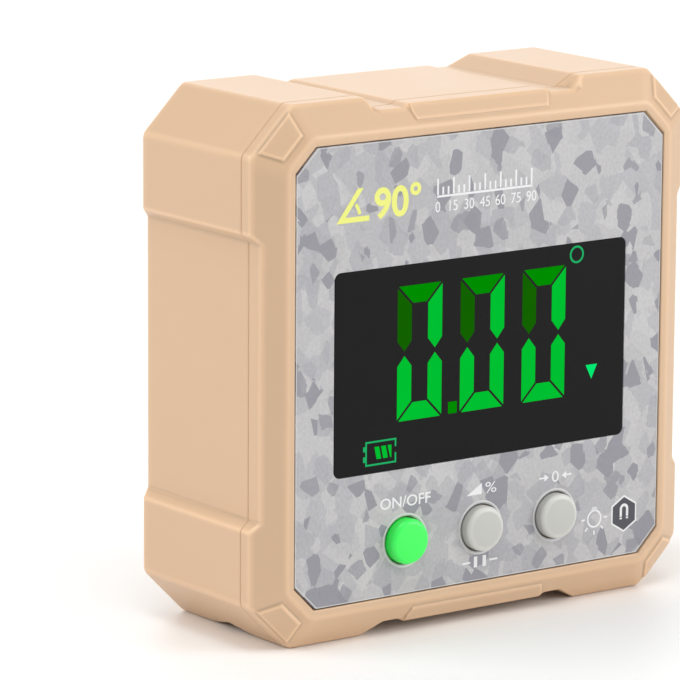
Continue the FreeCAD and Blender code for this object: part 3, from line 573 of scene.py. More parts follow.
class Stuff(Enum):
    """Every finish on the instrument."""

    # Case plastic, with painted highlights on its outer edges and painted shade in its creases.
    CASE = MouldedPlastic("case_plastic", (0.665, 0.452, 0.285), 0.38, painted_edge_light=0.8)
    PRINT = BrokenStonePrint("faceplate_print")
    LENS = DarkLens("window_lens")
    BRIGHT = LitSegment("segment_bright", (0.0, 0.50, 0.03))
    DIM = LitSegment("segment_dim", (0.0, 0.25, 0.0))
    FAINT = LitSegment("segment_faint", (0.006, 0.115, 0.0))
    SIGN = LitSegment("segment_sign", (0.0, 0.78, 0.16))
    THIN = LitSegment("segment_thin", (0.015, 0.42, 0.13))
    WHITE_INK = Ink("ink_white", (0.79, 0.79, 0.8))
    YELLOW_INK = Ink("ink_yellow", (0.8, 0.82, 0.19))
    BADGE_INK = Ink("ink_badge", (0.055, 0.055, 0.07))
    # Pale ink: a painted highlight on the embossed button rings and on the plate's polished edge.
    PALE_HIGHLIGHT_INK = Ink("ink_painted_highlight", (0.62, 0.62, 0.62))
    # Cap plastics, with a painted highlight on the caps' rounded edges.
    GREEN_CAP = MouldedPlastic("button_green", (0.03, 0.93, 0.09), 0.38, coat=0.15, painted_edge_light=0.8)
    GREY_CAP = MouldedPlastic("button_grey", (0.52, 0.518, 0.49), 0.4, coat=0.1, painted_edge_light=1.0)
    BLACK_PLASTIC = MouldedPlastic("switch_plastic", (0.02, 0.02, 0.022), 0.45)
    CHIP = MouldedPlastic("chip_plastic", (0.018, 0.018, 0.018), 0.55, grain=0.1)
    WHITE_PLASTIC = MouldedPlastic("white_plastic", (0.78, 0.78, 0.76), 0.4)
    CAPACITOR = MouldedPlastic("capacitor_ceramic", (0.42, 0.27, 0.15), 0.35, grain=0.08)
    SEAL = Rubber("seal_rubber", (0.022, 0.022, 0.022))
    FOAM = Rubber("foam", (0.035, 0.035, 0.035), 0.35, 0.04)
    STRIPES = Striped("zebra_rubber")
    GLASS = ClearSheet("display_glass", (0.02, 0.03, 0.022))
    LIGHT_GUIDE = ClearSheet("light_guide", (0.75, 0.85, 0.76), 0.25)
    BOARD = BoardLacquer("board_laminate")
    SCREW = Metal("screw_steel", (0.5, 0.5, 0.5), 0.33)
    PLATED = Metal("plated_metal", (0.72, 0.71, 0.69), 0.18)
    CONTACT = Metal("contact_metal", (0.66, 0.63, 0.57), 0.3, (1.0, 1.0, 0.1))
    CELL_JACKET = MouldedPlastic("cell_jacket", (0.02, 0.022, 0.028), 0.25, spread=0.05, coat=0.6)
    CELL_BAND = Metal("cell_band", (0.75, 0.42, 0.16), 0.3)
    CELL_STEEL = Metal("cell_steel", (0.68, 0.67, 0.65), 0.22)
    FLOOR = Ink("floor_paper", (0.93, 0.93, 0.93))

    @property
    def material(self) -> bpy.types.Material:
        """The finish's material."""
        return self.value.material


# --- Mesh making ---

def link(name: str, mesh: bpy.types.Mesh, stuff: Iterable[Stuff]) -> bpy.types.Object:
    """Makes a linked object from a mesh in millimetres.

    Args:
        name: The object's name.
        mesh: The mesh, in millimetres.
        stuff: Its finishes, in the order of its material numbers.

    Returns:
        The object, in metres.
    """
    mesh.transform(TO_METRES)
    mesh.name = name
    if mesh.materials:  # Clearing an empty list would still reset the faces' material numbers.
        mesh.materials.clear()
    for finish in stuff:
        mesh.materials.append(finish.material)
    made = bpy.data.objects.new(name, mesh)
    bpy.context.scene.collection.objects.link(made)
    made.modifiers.new("flat_faces_shade_flat", "WEIGHTED_NORMAL").keep_sharp = True
    return made


def settle(name: str, mesh: bpy.types.Mesh, stuff: Iterable[Stuff], body: str, slot: str, *nodes: str,
           angle: float = 40.0) -> None:
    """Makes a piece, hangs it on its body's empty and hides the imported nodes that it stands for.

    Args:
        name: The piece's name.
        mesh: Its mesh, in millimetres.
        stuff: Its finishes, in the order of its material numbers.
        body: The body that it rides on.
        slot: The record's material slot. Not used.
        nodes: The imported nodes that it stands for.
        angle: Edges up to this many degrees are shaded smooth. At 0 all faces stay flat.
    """
    if angle:
        mesh.shade_smooth()
        mesh.set_sharp_from_angle(angle=math.radians(angle))
    piece = link(name, mesh, stuff)
    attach(piece, body)
    if nodes:
        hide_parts(*nodes)
    log.info("%s: %d faces, rides on %s", name, len(mesh.polygons), body)


def mark_bend(mesh: bpy.types.Mesh, bend: np.ndarray) -> None:
    """Stores how sharply a mesh bends at each point: 1 on an outer edge, -1 in an inner one. The shader
    turns it into painted highlights and painted shade.
    """
    mesh.attributes.new("bend", "FLOAT", "POINT").data.foreach_set("value", bend)


def from_rings(rings: np.ndarray, looped: bool = False) -> bpy.types.Mesh:
    """Skins a stack of closed rings.

    Args:
        rings: Points as rings x points x 3, in millimetres.
        looped: Whether the last ring is joined to the first, and not filled as the first then is.

    Returns:
        The mesh, with its normals outwards.
    """
    mesh = bpy.data.meshes.new("rings")
    work = bmesh.new()
    verts = [[work.verts.new(point) for point in ring] for ring in rings]
    for lower, upper in list(zip(verts, verts[1:])) + ([(verts[-1], verts[0])] if looped else []):
        for index in range(len(lower)):
            following = (index + 1) % len(lower)
            work.faces.new((lower[index], lower[following], upper[following], upper[index]))
    if not looped:
        work.faces.new(verts[0])
        work.faces.new(verts[-1])
    bmesh.ops.recalc_face_normals(work, faces=work.faces)
    work.to_mesh(mesh)
    work.free()
    return mesh


def turned(profile: Sequence[Point], start: Vector, axis: Vector, around: int = 96,
           looped: bool = False) -> bpy.types.Mesh:
    """Turns a profile about an axis.

    Args:
        profile: Points as radius and distance along the axis, from end to end.
        start: Where the axis starts.
        axis: The axis's direction.
        around: How many points each ring has.
        looped: Whether the profile closes on itself, as a hoop's does.

    Returns:
        The turned mesh, closed by flat ends unless it is looped.
    """
    turn = axis.to_track_quat("Z", "Y").to_matrix()
    angles = [2 * math.pi * index / around for index in range(around)]
    spokes = [math.cos(angle) * turn.col[0] + math.sin(angle) * turn.col[1] for angle in angles]
    rings = [[start + axis * along + radius * spoke for spoke in spokes] for radius, along in profile]
    return from_rings(np.array(rings), looped)


def rounded(radius: float, near: float, far: float, edge: float, steps: int = 5) -> list[Point]:
    """Gives a cylinder's profile with both its edges rounded.

    Args:
        radius: The cylinder's radius.
        near: Where it starts along its axis.
        far: Where it ends.
        edge: The radius of its edges.
        steps: How many steps each edge has.

    Returns:
        The profile as radius and distance along the axis.
    """
    turns = [math.pi / 2 * step / steps for step in range(steps + 1)]
    inner = radius - edge
    first = [(inner + edge * math.sin(turn), near + edge - edge * math.cos(turn)) for turn in turns]
    return first + [(inner + edge * math.cos(turn), far - edge + edge * math.sin(turn)) for turn in turns]


def combine(first: bpy.types.Mesh, second: bpy.types.Mesh, operation: str) -> bpy.types.Mesh:
    """Combines two closed meshes.

    Args:
        first: The mesh that is worked on.
        second: The mesh that works on it.
        operation: INTERSECT, UNION or DIFFERENCE.

    Returns:
        The new mesh.
    """
    pair = [bpy.data.objects.new("work", mesh) for mesh in (first, second)]
    for item in pair:
        bpy.context.scene.collection.objects.link(item)
    step = pair[0].modifiers.new("work", "BOOLEAN")
    step.operation, step.solver, step.object = operation, "MANIFOLD", pair[1]
    graph = bpy.context.evaluated_depsgraph_get()
    made = bpy.data.meshes.new_from_object(pair[0].evaluated_get(graph))
    for item in pair:
        bpy.data.objects.remove(item)
    return made


def welded(mesh: bpy.types.Mesh, outwards: bool = False) -> bpy.types.Mesh:
    """Joins a mesh's seams and, if asked, turns its faces outwards.

    Args:
        mesh: The mesh, in millimetres.
        outwards: Whether the faces are turned outwards.

    Returns:
        The same mesh.
    """
    work = bmesh.new()
    work.from_mesh(mesh)
    bmesh.ops.remove_doubles(work, verts=work.verts, dist=SEAM)
    if outwards:
        bmesh.ops.recalc_face_normals(work, faces=work.faces)
    work.to_mesh(mesh)
    work.free()
    return mesh


def packed_mesh(node: str) -> bpy.types.Mesh:
    """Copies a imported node's mesh, in millimetres and with its seams joined.

    Args:
        node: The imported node.

    Returns:
        The copy.
    """
    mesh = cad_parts[node].data.copy()
    mesh.transform(Matrix.Scale(1 / MILLIMETRE, 4))
    return welded(mesh)


def joined(meshes: Iterable[tuple[bpy.types.Mesh, int]]) -> bpy.types.Mesh:
    """Joins meshes into one, each with a material number of its own.

    Args:
        meshes: Each mesh with its material number.

    Returns:
        The joined mesh.
    """
    work = bmesh.new()
    for mesh, number in meshes:
        known = len(work.faces)
        work.from_mesh(mesh)
        work.faces.ensure_lookup_table()
        for face in work.faces[known:]:
            face.material_index = number
    made = bpy.data.meshes.new("joined")
    work.to_mesh(made)
    work.free()
    return made


# --- Outlines ---

def polar(middle: Point, radius: float, turn: float) -> Point:
    """Gives the point at a radius and an angle from a middle."""
    return middle[0] + radius * math.cos(turn), middle[1] + radius * math.sin(turn)


def ring_loop(middle: Point, radius: float, points: int = 72) -> Loop:
    """Gives a circle."""
    return [polar(middle, radius, 2 * math.pi * index / points) for index in range(points)]


def arc_loop(middle: Point, radius: float, width: float, start: float, end: float) -> Loop:
    """Gives a curved stroke, from one angle to another in degrees.

    Args:
        middle: The arc's middle.
        radius: Its outer radius.
        width: The stroke's width.
        start: The angle that it starts at.
        end: The angle that it ends at.

    Returns:
        The outline.
    """
    turns = [math.radians(start + (end - start) * index / 24) for index in range(25)]
    outer = [polar(middle, radius, turn) for turn in turns]
    return outer + [polar(middle, radius - width, turn) for turn in reversed(turns)]


def bar_loop(start: Point, end: Point, width: float) -> Loop:
    """Gives a straight bar with square ends.

    Args:
        start: The middle of one end.
        end: The middle of the other end.
        width: The bar's width.

    Returns:
        The outline.
    """
    along = Vector((end[0] - start[0], end[1] - start[1])).normalized()
    side = Vector((-along.y, along.x)) * width / 2
    return [(start[0] + side.x, start[1] + side.y), (end[0] + side.x, end[1] + side.y),
            (end[0] - side.x, end[1] - side.y), (start[0] - side.x, start[1] - side.y)]


def box_loop(left: float, right: float, low: float, high: float) -> Loop:
    """Gives a plain rectangle."""
    return [(left, low), (right, low), (right, high), (left, high)]


def post_loop(middle: float, width: float, low: float, high: float) -> Loop:
    """Gives a plain rectangle by its middle and width."""
    return box_loop(middle - width / 2, middle + width / 2, low, high)


def soft_box_loop(middle: Point, width: float, height: float, radius: float, steps: int = 10) -> Loop:
    """Gives a rectangle with rounded corners.

    Args:
        middle: The rectangle's middle.
        width: Its width.
        height: Its height.
        radius: The radius of its corners.
        steps: How many steps each corner has.

    Returns:
        The outline.
    """
    loop = []
    for side, level, start in ((1, 1, 0), (-1, 1, 90), (-1, -1, 180), (1, -1, 270)):
        corner = (middle[0] + side * (width / 2 - radius), middle[1] + level * (height / 2 - radius))
        loop += [polar(corner, radius, math.radians(start + 90 * step / steps)) for step in range(steps + 1)]
    return loop


def eight_sided_loop(middle: Point, width: float, height: float, cut: float) -> Loop:
    """Gives a rectangle with its corners cut off.

    Args:
        middle: The rectangle's middle.
        width: Its width.
        height: Its height.
        cut: How much each corner takes off either side.

    Returns:
        The outline, from the left end of the lowest side to the right and round.
    """
    (x, z), half, rise = middle, width / 2, height / 2
    return [(x - half + cut, z - rise), (x + half - cut, z - rise), (x + half, z - rise + cut),
            (x + half, z + rise - cut), (x + half - cut, z + rise), (x - half + cut, z + rise),
            (x - half, z + rise - cut), (x - half, z - rise + cut)]


def sheet(loops: Iterable[Loop], front: float, back: float, edge: float = 0.0) -> bpy.types.Mesh:
    """Fills outlines and gives them thickness. An outline inside another is a hole.

    Args:
        loops: The outlines, as X and Z places in millimetres.
        front: The Y place of the front face.
        back: The Y place of the back face.
        edge: The radius of the rounding on every edge.

    Returns:
        The mesh.
    """
    curve = bpy.data.curves.new("sheet", "CURVE")
    curve.dimensions, curve.fill_mode = "2D", "BOTH"
    curve.extrude = (back - front) / 2 - edge
    curve.bevel_depth, curve.bevel_resolution, curve.offset = edge, 2, -edge
    for loop in loops:
        spline = curve.splines.new("POLY")
        spline.points.add(len(loop) - 1)
        for point, (x, z) in zip(spline.points, loop):
            point.co = (x, z, 0, 1)
        spline.use_cyclic_u = True
    return stand(curve, front, back)


def stand(curve: bpy.types.Curve, front: float, back: float) -> bpy.types.Mesh:
    """Turns a flat curve or text into a mesh that stands between two Y places.

    Args:
        curve: The curve or text.
        front: The Y place of the front face.
        back: The Y place of the back face.

    Returns:
        The mesh.
    """
    holder = bpy.data.objects.new("work", curve)
    bpy.context.scene.collection.objects.link(holder)
    graph = bpy.context.evaluated_depsgraph_get()
    mesh = bpy.data.meshes.new_from_object(holder.evaluated_get(graph))
    bpy.data.objects.remove(holder)
    mesh.transform(Matrix.Translation((0, (front + back) / 2, 0)) @ Matrix.Rotation(math.pi / 2, 4, "X"))
    return welded(mesh, outwards=True)


# --- The case ---

class Shell(Enum):
    """The two halves of the case."""

    FRONT = "front_bezel"
    REAR = "main_housing"


def soft_max(first: np.ndarray, second: np.ndarray, blend: float) -> np.ndarray:
    """Gives the greater of two distances, rounded where they meet."""
    near = np.clip(1 - np.abs(first - second) / blend, 0, None)
    return np.maximum(first, second) + near * near * blend / 4


def softened(knots: Sequence[Point], reach: float) -> Callable[[np.ndarray], np.ndarray]:
    """Gives a function that follows straight runs between knots, with its bends rounded.

    Args:
        knots: Each knot's place and level.
        reach: How far from a knot the rounding starts.

    Returns:
        The function, from places to levels.
    """
    step = 0.02
    spots = np.arange(-1.0, 61.0, step)
    levels = np.interp(spots, *zip(*knots))
    width = int(reach / step)
    kernel = np.ones(2 * width + 1) / (2 * width + 1)
    levels = np.convolve(np.pad(levels, width, mode="edge"), kernel, mode="valid")
    return lambda places: np.interp(places, spots, levels)


def ramp(distance: np.ndarray, run: float) -> np.ndarray:
    """Rises smoothly from 0 to 1 as a distance grows through 0, over a run."""
    share = np.clip(distance / run + 0.5, 0, 1)
    return share * share * (3 - 2 * share)


def nearness(distance: float, reach: float) -> float:
    """Falls from 1 to 0 as a distance grows to a reach."""
    return max(0.0, 1 - distance / reach)


@dataclass
class Case:
    """The two case shells, with bumpers, troughs, raised panels and softly rounded edges."""

    corner_cut: float = 5.3
    bevel_run: float = 3.5
    bevel_depth: float = 2.1
    bumper_across: float = 14.9
    bumper_along: float = 13.7
    bumper_slope: float = 2.6
    steep_slope: float = 0.9
    steep_lead: float = 0.7
    side_recess: float = 1.0
    side_slope: float = 1.0
    trough_recess: float = 1.4
    recess_edge: float = 0.17
    panel_recess: float = 1.0
    panel_width: float = 19.0
    panel_slope: float = 0.8
    panel_raise: float = 0.15
    panel_stop: float = 0.74
    panel_lean: float = 0.45
    panel_over: float = 0.4
    panel_end_edge: float = 0.22
    panel_top_edge: float = 0.25
    pad_outer: float = 6.0
    pad_inner: float = 3.7
    pad_near: float = 0.38
    pad_far: float = 3.0
    pad_foot: float = 0.25
    pad_taper: float = 2.9
    pad_side: float = 0.14
    pad_raise: float = 0.27
    pad_near_edge: float = 0.24
    pad_far_edge: float = 0.26
    pad_side_edge: float = 0.26
    groove_width: float = 7.2
    groove_depth: float = 0.9
    groove_edge: float = 0.3
    seat_inset: float = 4.48
    edge: float = 0.34
    corner_edge: float = 0.3
    rim_edge: float = 0.13
    parting_edge: float = 0.26
    bend_reach: float = 0.36
    full_bend: float = 0.05
    bend_depth: float = 0.05
    skin: float = 0.012
    parting_gap: float = 0.004
    face_band: float = 1.5
    parting_band: float = 0.6
    seat_margin: float = 0.06
    seat_rings: tuple[Point, ...] = ((0.03, 0.45), (0.03, 0.2), (-0.01, 0.09), (-0.035, 0.045))
    front_close: float = 2.7
    front_reach: float = 9.5
    front_overlap: float = 0.02
    rear_close: float = 2.4
    front_counts: tuple[int, ...] = (5, 36, 9)
    rear_counts: tuple[int, ...] = (5, 14, 24)
    near_bends: tuple[float, ...] = (0.03, 0.07, 0.12, 0.18, 0.26, 0.36, 0.5)
    near_ends: tuple[float, ...] = (0.07, 0.15, 0.26, 0.4, 0.55, 0.75)
    facet_spots: int = 84
    feature_reach: float = 0.6
    feature_spacing: float = 0.1
    plain_margin: float = 1.0
    plain_spacing: float = 0.8
    least_spacing: float = 0.045
    corner_pull: float = 3.7
    corner_turn: float = 0.7
    farthest_in: float = 1.6
    farthest_out: float = 0.8
    halvings: int = 26
    outline: Box = field(default_factory=lambda: Box.of("main_housing"))
    front_box: Box = field(default_factory=lambda: Box.of("front_bezel"))

    def __post_init__(self) -> None:
        """Works out the places that both shells share."""
        self.rim = self.front_box.low.y
        self.parting = self.outline.low.y - self.rim
        self.depth = self.outline.high.y - self.rim
        self.half_width, self.half_height = self.outline.size.x / 2, self.outline.size.z / 2
        self.centre = self.outline.middle.z
        self.facet = self.half_width + self.half_height - self.corner_cut
        self.bumper = self.half_width - self.bumper_across
        self.reach = self.half_height - self.bumper_along
        self.half_panel = self.panel_width / 2
        self.level_recess = softened([(self.half_panel, self.panel_recess),
                                      (self.half_panel + self.panel_slope, self.trough_recess),
                                      (self.bumper - self.bumper_slope, self.trough_recess),
                                      (self.bumper, 0.0)], self.recess_edge)
        self.side_relief = softened([(self.reach - self.side_slope, self.side_recess), (self.reach, 0.0)],
                                    self.recess_edge)

    def build(self) -> None:
        """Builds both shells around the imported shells' insides."""
        for shell in Shell:
            outside = from_rings(self.skin_rings(shell))
            mesh = combine(outside, packed_mesh(shell.value), "INTERSECT")
            self.mark_edges(shell, mesh)
            settle(f"case_{shell.name.lower()}", mesh, [Stuff.CASE], "root", "case_plastic", shell.value,
                   angle=30.0)

    # The outside as a distance: below zero in the plastic, above zero in the air.

    def distance(self, shell: Shell, x: np.ndarray, z: np.ndarray, deep: np.ndarray) -> np.ndarray:
        """Gives how far places are outside one shell's skin, its parting face included."""
        behind = deep - self.parting if shell is Shell.FRONT else self.parting - deep
        return soft_max(self.outside(shell, x, z, deep), behind + self.parting_gap, self.parting_edge)

    def outside(self, shell: Shell, x: np.ndarray, z: np.ndarray, deep: np.ndarray) -> np.ndarray:
        """Gives how far places are outside the closed case.

        Args:
            shell: The half of the case that they lie in.
            x: Places across, in millimetres from the middle.
            z: Places up, from the middle.
            deep: Depths behind the front rim.

        Returns:
            The distances, below zero inside.
        """
        face = self.flipped(shell, deep)
        across, up = np.abs(x), np.abs(z)
        sides, levels = across - self.half_width, up - self.half_height
        facets = (across + up - self.facet) / math.sqrt(2)
        level_relief = self.level_recess(np.where(z > 0, self.twisted(across, deep), across))
        if shell is Shell.REAR:
            grooved = soft_max(level_relief, self.groove(deep), self.groove_edge)
            level_relief = np.where(z < 0, grooved, level_relief)
        wall = soft_max(soft_max(sides + self.side_relief(up), levels + level_relief, self.corner_edge),
                        facets, self.corner_edge)
        bevels = [self.bevel(sides, face), self.bevel(levels, face), self.bevel(facets, face)]
        if shell is Shell.FRONT:
            bevels[1] = bevels[1] - self.panel_raise * self.panel_mask(across, -levels)
            bevels[2] = bevels[2] - self.pad_raise * self.pad_mask(across - up, facets, face)
        slope = soft_max(soft_max(bevels[0], bevels[1], self.edge), bevels[2], self.edge)
        return soft_max(soft_max(wall, slope, self.edge), -face, self.rim_edge) + self.skin

    def flipped(self, shell: Shell, depth: np.ndarray) -> np.ndarray:
        """Turns a depth behind the front rim into one behind the shell's own face, and back."""
        return depth if shell is Shell.FRONT else self.depth - depth

    def twisted(self, across: np.ndarray, deep: np.ndarray) -> np.ndarray:
        """Moves places across, so that the top's slopes grow steeper from parting line to bevel.

        Args:
            across: Places across, from the middle outwards.
            deep: Depths behind the front rim.

        Returns:
            The moved places.
        """
        start = self.bevel_depth - self.steep_lead
        share = np.clip((deep - start) / (self.parting - start), 0, 1)
        run = self.steep_slope + (self.bumper_slope - self.steep_slope) * share
        near = np.minimum(across, self.bumper - self.bumper_slope)
        return np.maximum(near, self.bumper - (self.bumper - across) * self.bumper_slope / run)

    def bevel(self, distance: np.ndarray, face: np.ndarray) -> np.ndarray:
        """Gives the distance outside one bevel plane."""
        slant = math.hypot(self.bevel_run, self.bevel_depth)
        return (distance + self.bevel_run * (1 - face / self.bevel_depth)) * self.bevel_depth / slant

    def groove(self, deep: np.ndarray) -> np.ndarray:
        """Gives the depth of the pipe groove across the base."""
        return self.groove_depth * (1 - np.abs(deep - self.depth / 2) / (self.groove_width / 2))

    def panel_mask(self, across: np.ndarray, inset: np.ndarray) -> np.ndarray:
        """Is 1 on the raised middle panel, whose ends lean inwards as they near the rim.

        Args:
            across: Places across, from the middle outwards.
            inset: How far places are in from the plain outline.

        Returns:
            The mask, from 0 to 1.
        """
        end = self.half_panel + self.panel_over - self.panel_lean * (inset - self.panel_recess)
        top = self.bevel_run - self.panel_stop
        return np.minimum(ramp(end - across, self.panel_end_edge), ramp(top - inset, self.panel_top_edge))

    def pad_mask(self, along: np.ndarray, facets: np.ndarray, face: np.ndarray) -> np.ndarray:
        """Is 1 on the raised pad of a corner bevel, which narrows towards the rim.

        Args:
            along: Places along the corner bevel.
            facets: Distances outside the corner facet.
            face: Depths behind the shell's own face.

        Returns:
            The mask, from 0 to 1.
        """
        climb = np.hypot(facets, self.bevel_depth - face)
        share = np.clip((climb - self.pad_foot) / self.pad_taper, 0, 1)
        half = (self.pad_outer + (self.pad_inner - self.pad_outer) * share) / 2 - self.pad_side
        ends = np.minimum(ramp(climb - self.pad_near, self.pad_near_edge),
                          ramp(self.pad_far - climb, self.pad_far_edge))
        return np.minimum(ramp(half - np.abs(along) / math.sqrt(2), self.pad_side_edge), ends)

    def mark_edges(self, shell: Shell, mesh: bpy.types.Mesh) -> None:
        """Marks a shell's mesh, in millimetres, with how sharply the skin bends, for painted highlights on
        its edges and painted shade in its creases.

        Args:
            shell: The half of the case.
            mesh: Its mesh, in millimetres.
        """
        spots = np.empty(3 * len(mesh.vertices))
        mesh.vertices.foreach_get("co", spots)
        here = spots.reshape(-1, 3).T[[0, 2, 1]] - [[0.0], [self.centre], [self.rim]]
        level = self.outside(shell, *here)
        around = np.zeros(len(level))
        for shift in (-self.bend_reach, self.bend_reach):
            for step in np.eye(3) * shift:
                around += self.outside(shell, *(here + step[:, None]))
        bend = np.clip((around / 6 - level) / self.full_bend, -1, 1)
        mark_bend(mesh, bend * (np.abs(level) < self.bend_depth))

    # The grid that is laid over it: stations round the outline, and samples from rim to parting line.

    def stations(self) -> list[tuple]:
        """Lays stations round the case's outline.

        Returns:
            For each station: the corner that its side starts from, the side's direction, its outward
            normal, how far along it stands, how far its shared corners pull it in for each
            millimetre of inset, the turn of its normal in radians, and its recess.
        """
        size = self.outline.size
        corners = [Vector(point) for point in eight_sided_loop((0, 0), size.x, size.z, self.corner_cut)]
        made = []
        for index, corner in enumerate(corners):
            side = corners[(index + 1) % 8] - corner
            length, along = side.length, side.normalized()
            outward = Vector((along.y, -along.x))
            for spot in self.side_spots(index, length):
                ahead = length - spot
                pull = nearness(spot, self.corner_pull) - nearness(ahead, self.corner_pull)
                turn = nearness(ahead, self.corner_turn) - nearness(spot, self.corner_turn)
                place = corner + along * spot
                recess = (self.level_recess(abs(place.x)), 0.0, self.side_relief(abs(place.y)), 0.0)
                made.append((corner, along, outward, spot, math.tan(math.pi / 8) * pull,
                             math.pi / 8 * turn, recess[index % 4]))
        return made

    def side_spots(self, index: int, length: float) -> list[float]:
        """Gives where stations stand along a side, close together near its features.

        Args:
            index: The side's number, from the bottom round.
            length: The side's length.

        Returns:
            Distances from the side's start.
        """
        if index % 2:
            return list(np.linspace(0, length, self.facet_spots, endpoint=False))
        margin, reach = self.plain_margin, self.feature_reach
        between = np.linspace(margin, length - margin, int(length / self.plain_spacing))
        spots = {0.0, *self.near_ends, *(length - end for end in self.near_ends), *between}
        features = [self.reach, self.reach - self.side_slope]
        if index % 4 == 0:
            features = [self.bumper, self.bumper - self.bumper_slope, self.half_panel + self.panel_slope,
                        self.half_panel, self.half_panel - reach]
        for feature in features:
            for step in np.arange(-reach, reach + 0.01, self.feature_spacing):
                spots.update(round(length / 2 + side * (feature + step), 4) for side in (1, -1))
        kept = [0.0]
        for spot in sorted(spots):
            if min(spot - kept[-1], length - spot) > self.least_spacing:
                kept.append(spot)
        return kept

    def samples(self, shell: Shell) -> list[tuple[int, float, float, float]]:
        """Lays samples across a shell's skin.

        Args:
            shell: The half of the case.

        Returns:
            For each sample: the run of the profile that it lies on (0 rim, 1 bevel, 2 side, 3 parting
            face), its place on the run as a fixed part and a share of the run's length, and the
            lean of its ray from outwards (0) towards the rim's side (90 degrees).
        """
        leans = (90.0, math.degrees(math.atan2(self.bevel_run, self.bevel_depth)), 0.0, -90.0)
        near = self.near_bends

        def tilt(run: int, share: float) -> float:
            """Gives the lean at a share of the turn from one run to the next."""
            return leans[run] + (leans[run + 1] - leans[run]) * share

        made = []
        for run, count in enumerate(self.front_counts if shell is Shell.FRONT else self.rear_counts):
            start = near[-1] if run else 0.0
            for step in range(1, count + 1):
                share = step / (count + 1)
                made.append((run, start * (1 - share) - near[-1] * share, share, leans[run]))
            made += [(run, -offset, 1.0, tilt(run, 0.5 - offset)) for offset in (*reversed(near), 0.0)]
            following = near if run < 2 else near[:3]
            made += [(run + 1, offset, 0.0, tilt(run, 0.5 + offset)) for offset in following]
        return made

    def skin_rings(self, shell: Shell) -> np.ndarray:
        """Finds a shell's skin along rays from its plain outline.

        Args:
            shell: The half of the case.

        Returns:
            Points as rings x stations x 3, in millimetres.
        """
        start, along, outward, spot, pull, turn, recess = map(np.array, zip(*self.stations()))
        facing = outward * np.cos(turn)[:, None] + along * np.sin(turn)[:, None]
        ones = np.ones(len(spot))

        def place(inset: np.ndarray) -> np.ndarray:
            """Gives the stations' X and Z places at an inset."""
            return start + along * (spot + pull * inset)[:, None] - outward * inset[:, None]

        parting = self.flipped(shell, self.parting)
        wide, first, last = self.bevel_run + self.face_band, [], [(self.rear_close, parting - self.skin)]
        if shell is Shell.FRONT:
            wide = self.seat_inset - self.seat_margin
            first = [(self.seat_inset + past, deep) for past, deep in self.seat_rings]
            last = [(self.front_close, parting + self.front_overlap), (self.front_close, self.front_reach)]
        knots = np.array([(wide * ones, 0 * ones), (self.bevel_run * ones, 0 * ones),
                          (recess, self.bevel_depth * (1 - recess / self.bevel_run)),
                          (recess, parting * ones), (recess + self.parting_band, parting * ones)])
        rings = []
        for run, fixed, share, tilt in self.samples(shell):
            knot, gap = knots[run], knots[run + 1] - knots[run]
            length = np.hypot(*gap)
            inset, face = knot + gap * np.clip((fixed + share * length) / length, 0, 1)
            lean = math.radians(tilt)
            rings.append(self.trace(shell, place(inset), face, facing * math.cos(lean), math.sin(lean)))
        closing = [[self.points(place(inset * ones), self.flipped(shell, face * ones))
                    for inset, face in pairs] for pairs in (first, last)]
        return np.array(closing[0] + rings + closing[1])

    def points(self, flat: np.ndarray, deep: np.ndarray) -> np.ndarray:
        """Turns X and Z places and depths behind the front rim into points."""
        return np.column_stack((flat[:, 0], self.rim + deep, self.centre + flat[:, 1]))

    def trace(self, shell: Shell, flat: np.ndarray, face: np.ndarray, ray: np.ndarray,
              lift: float) -> np.ndarray:
        """Moves places along their rays until they lie on the skin.

        Args:
            shell: The half of the case.
            flat: X and Z places.
            face: Depths behind the shell's own face.
            ray: The rays' X and Z parts.
            lift: The rays' part towards the shell's own face.

        Returns:
            The places on the skin, as points.
        """
        low, high = np.full(len(flat), -self.farthest_in), np.full(len(flat), self.farthest_out)
        for _ in range(self.halvings):
            middle = (low + high) / 2
            spots = flat + ray * middle[:, None]
            outside = self.distance(shell, *spots.T, self.flipped(shell, face - lift * middle)) > 0
            low, high = np.where(outside, low, middle), np.where(outside, middle, high)
        return self.points(flat + ray * low[:, None], self.flipped(shell, face - lift * low))


# --- Signs ---

@dataclass(frozen=True)
class Area:
    """A rectangle on the front, in millimetres from the case's middle."""

    left: float
    right: float
    low: float
    high: float

    @property
    def width(self) -> float:
        """The area's width."""
        return self.right - self.left

    @property
    def height(self) -> float:
        """The area's height."""
        return self.high - self.low


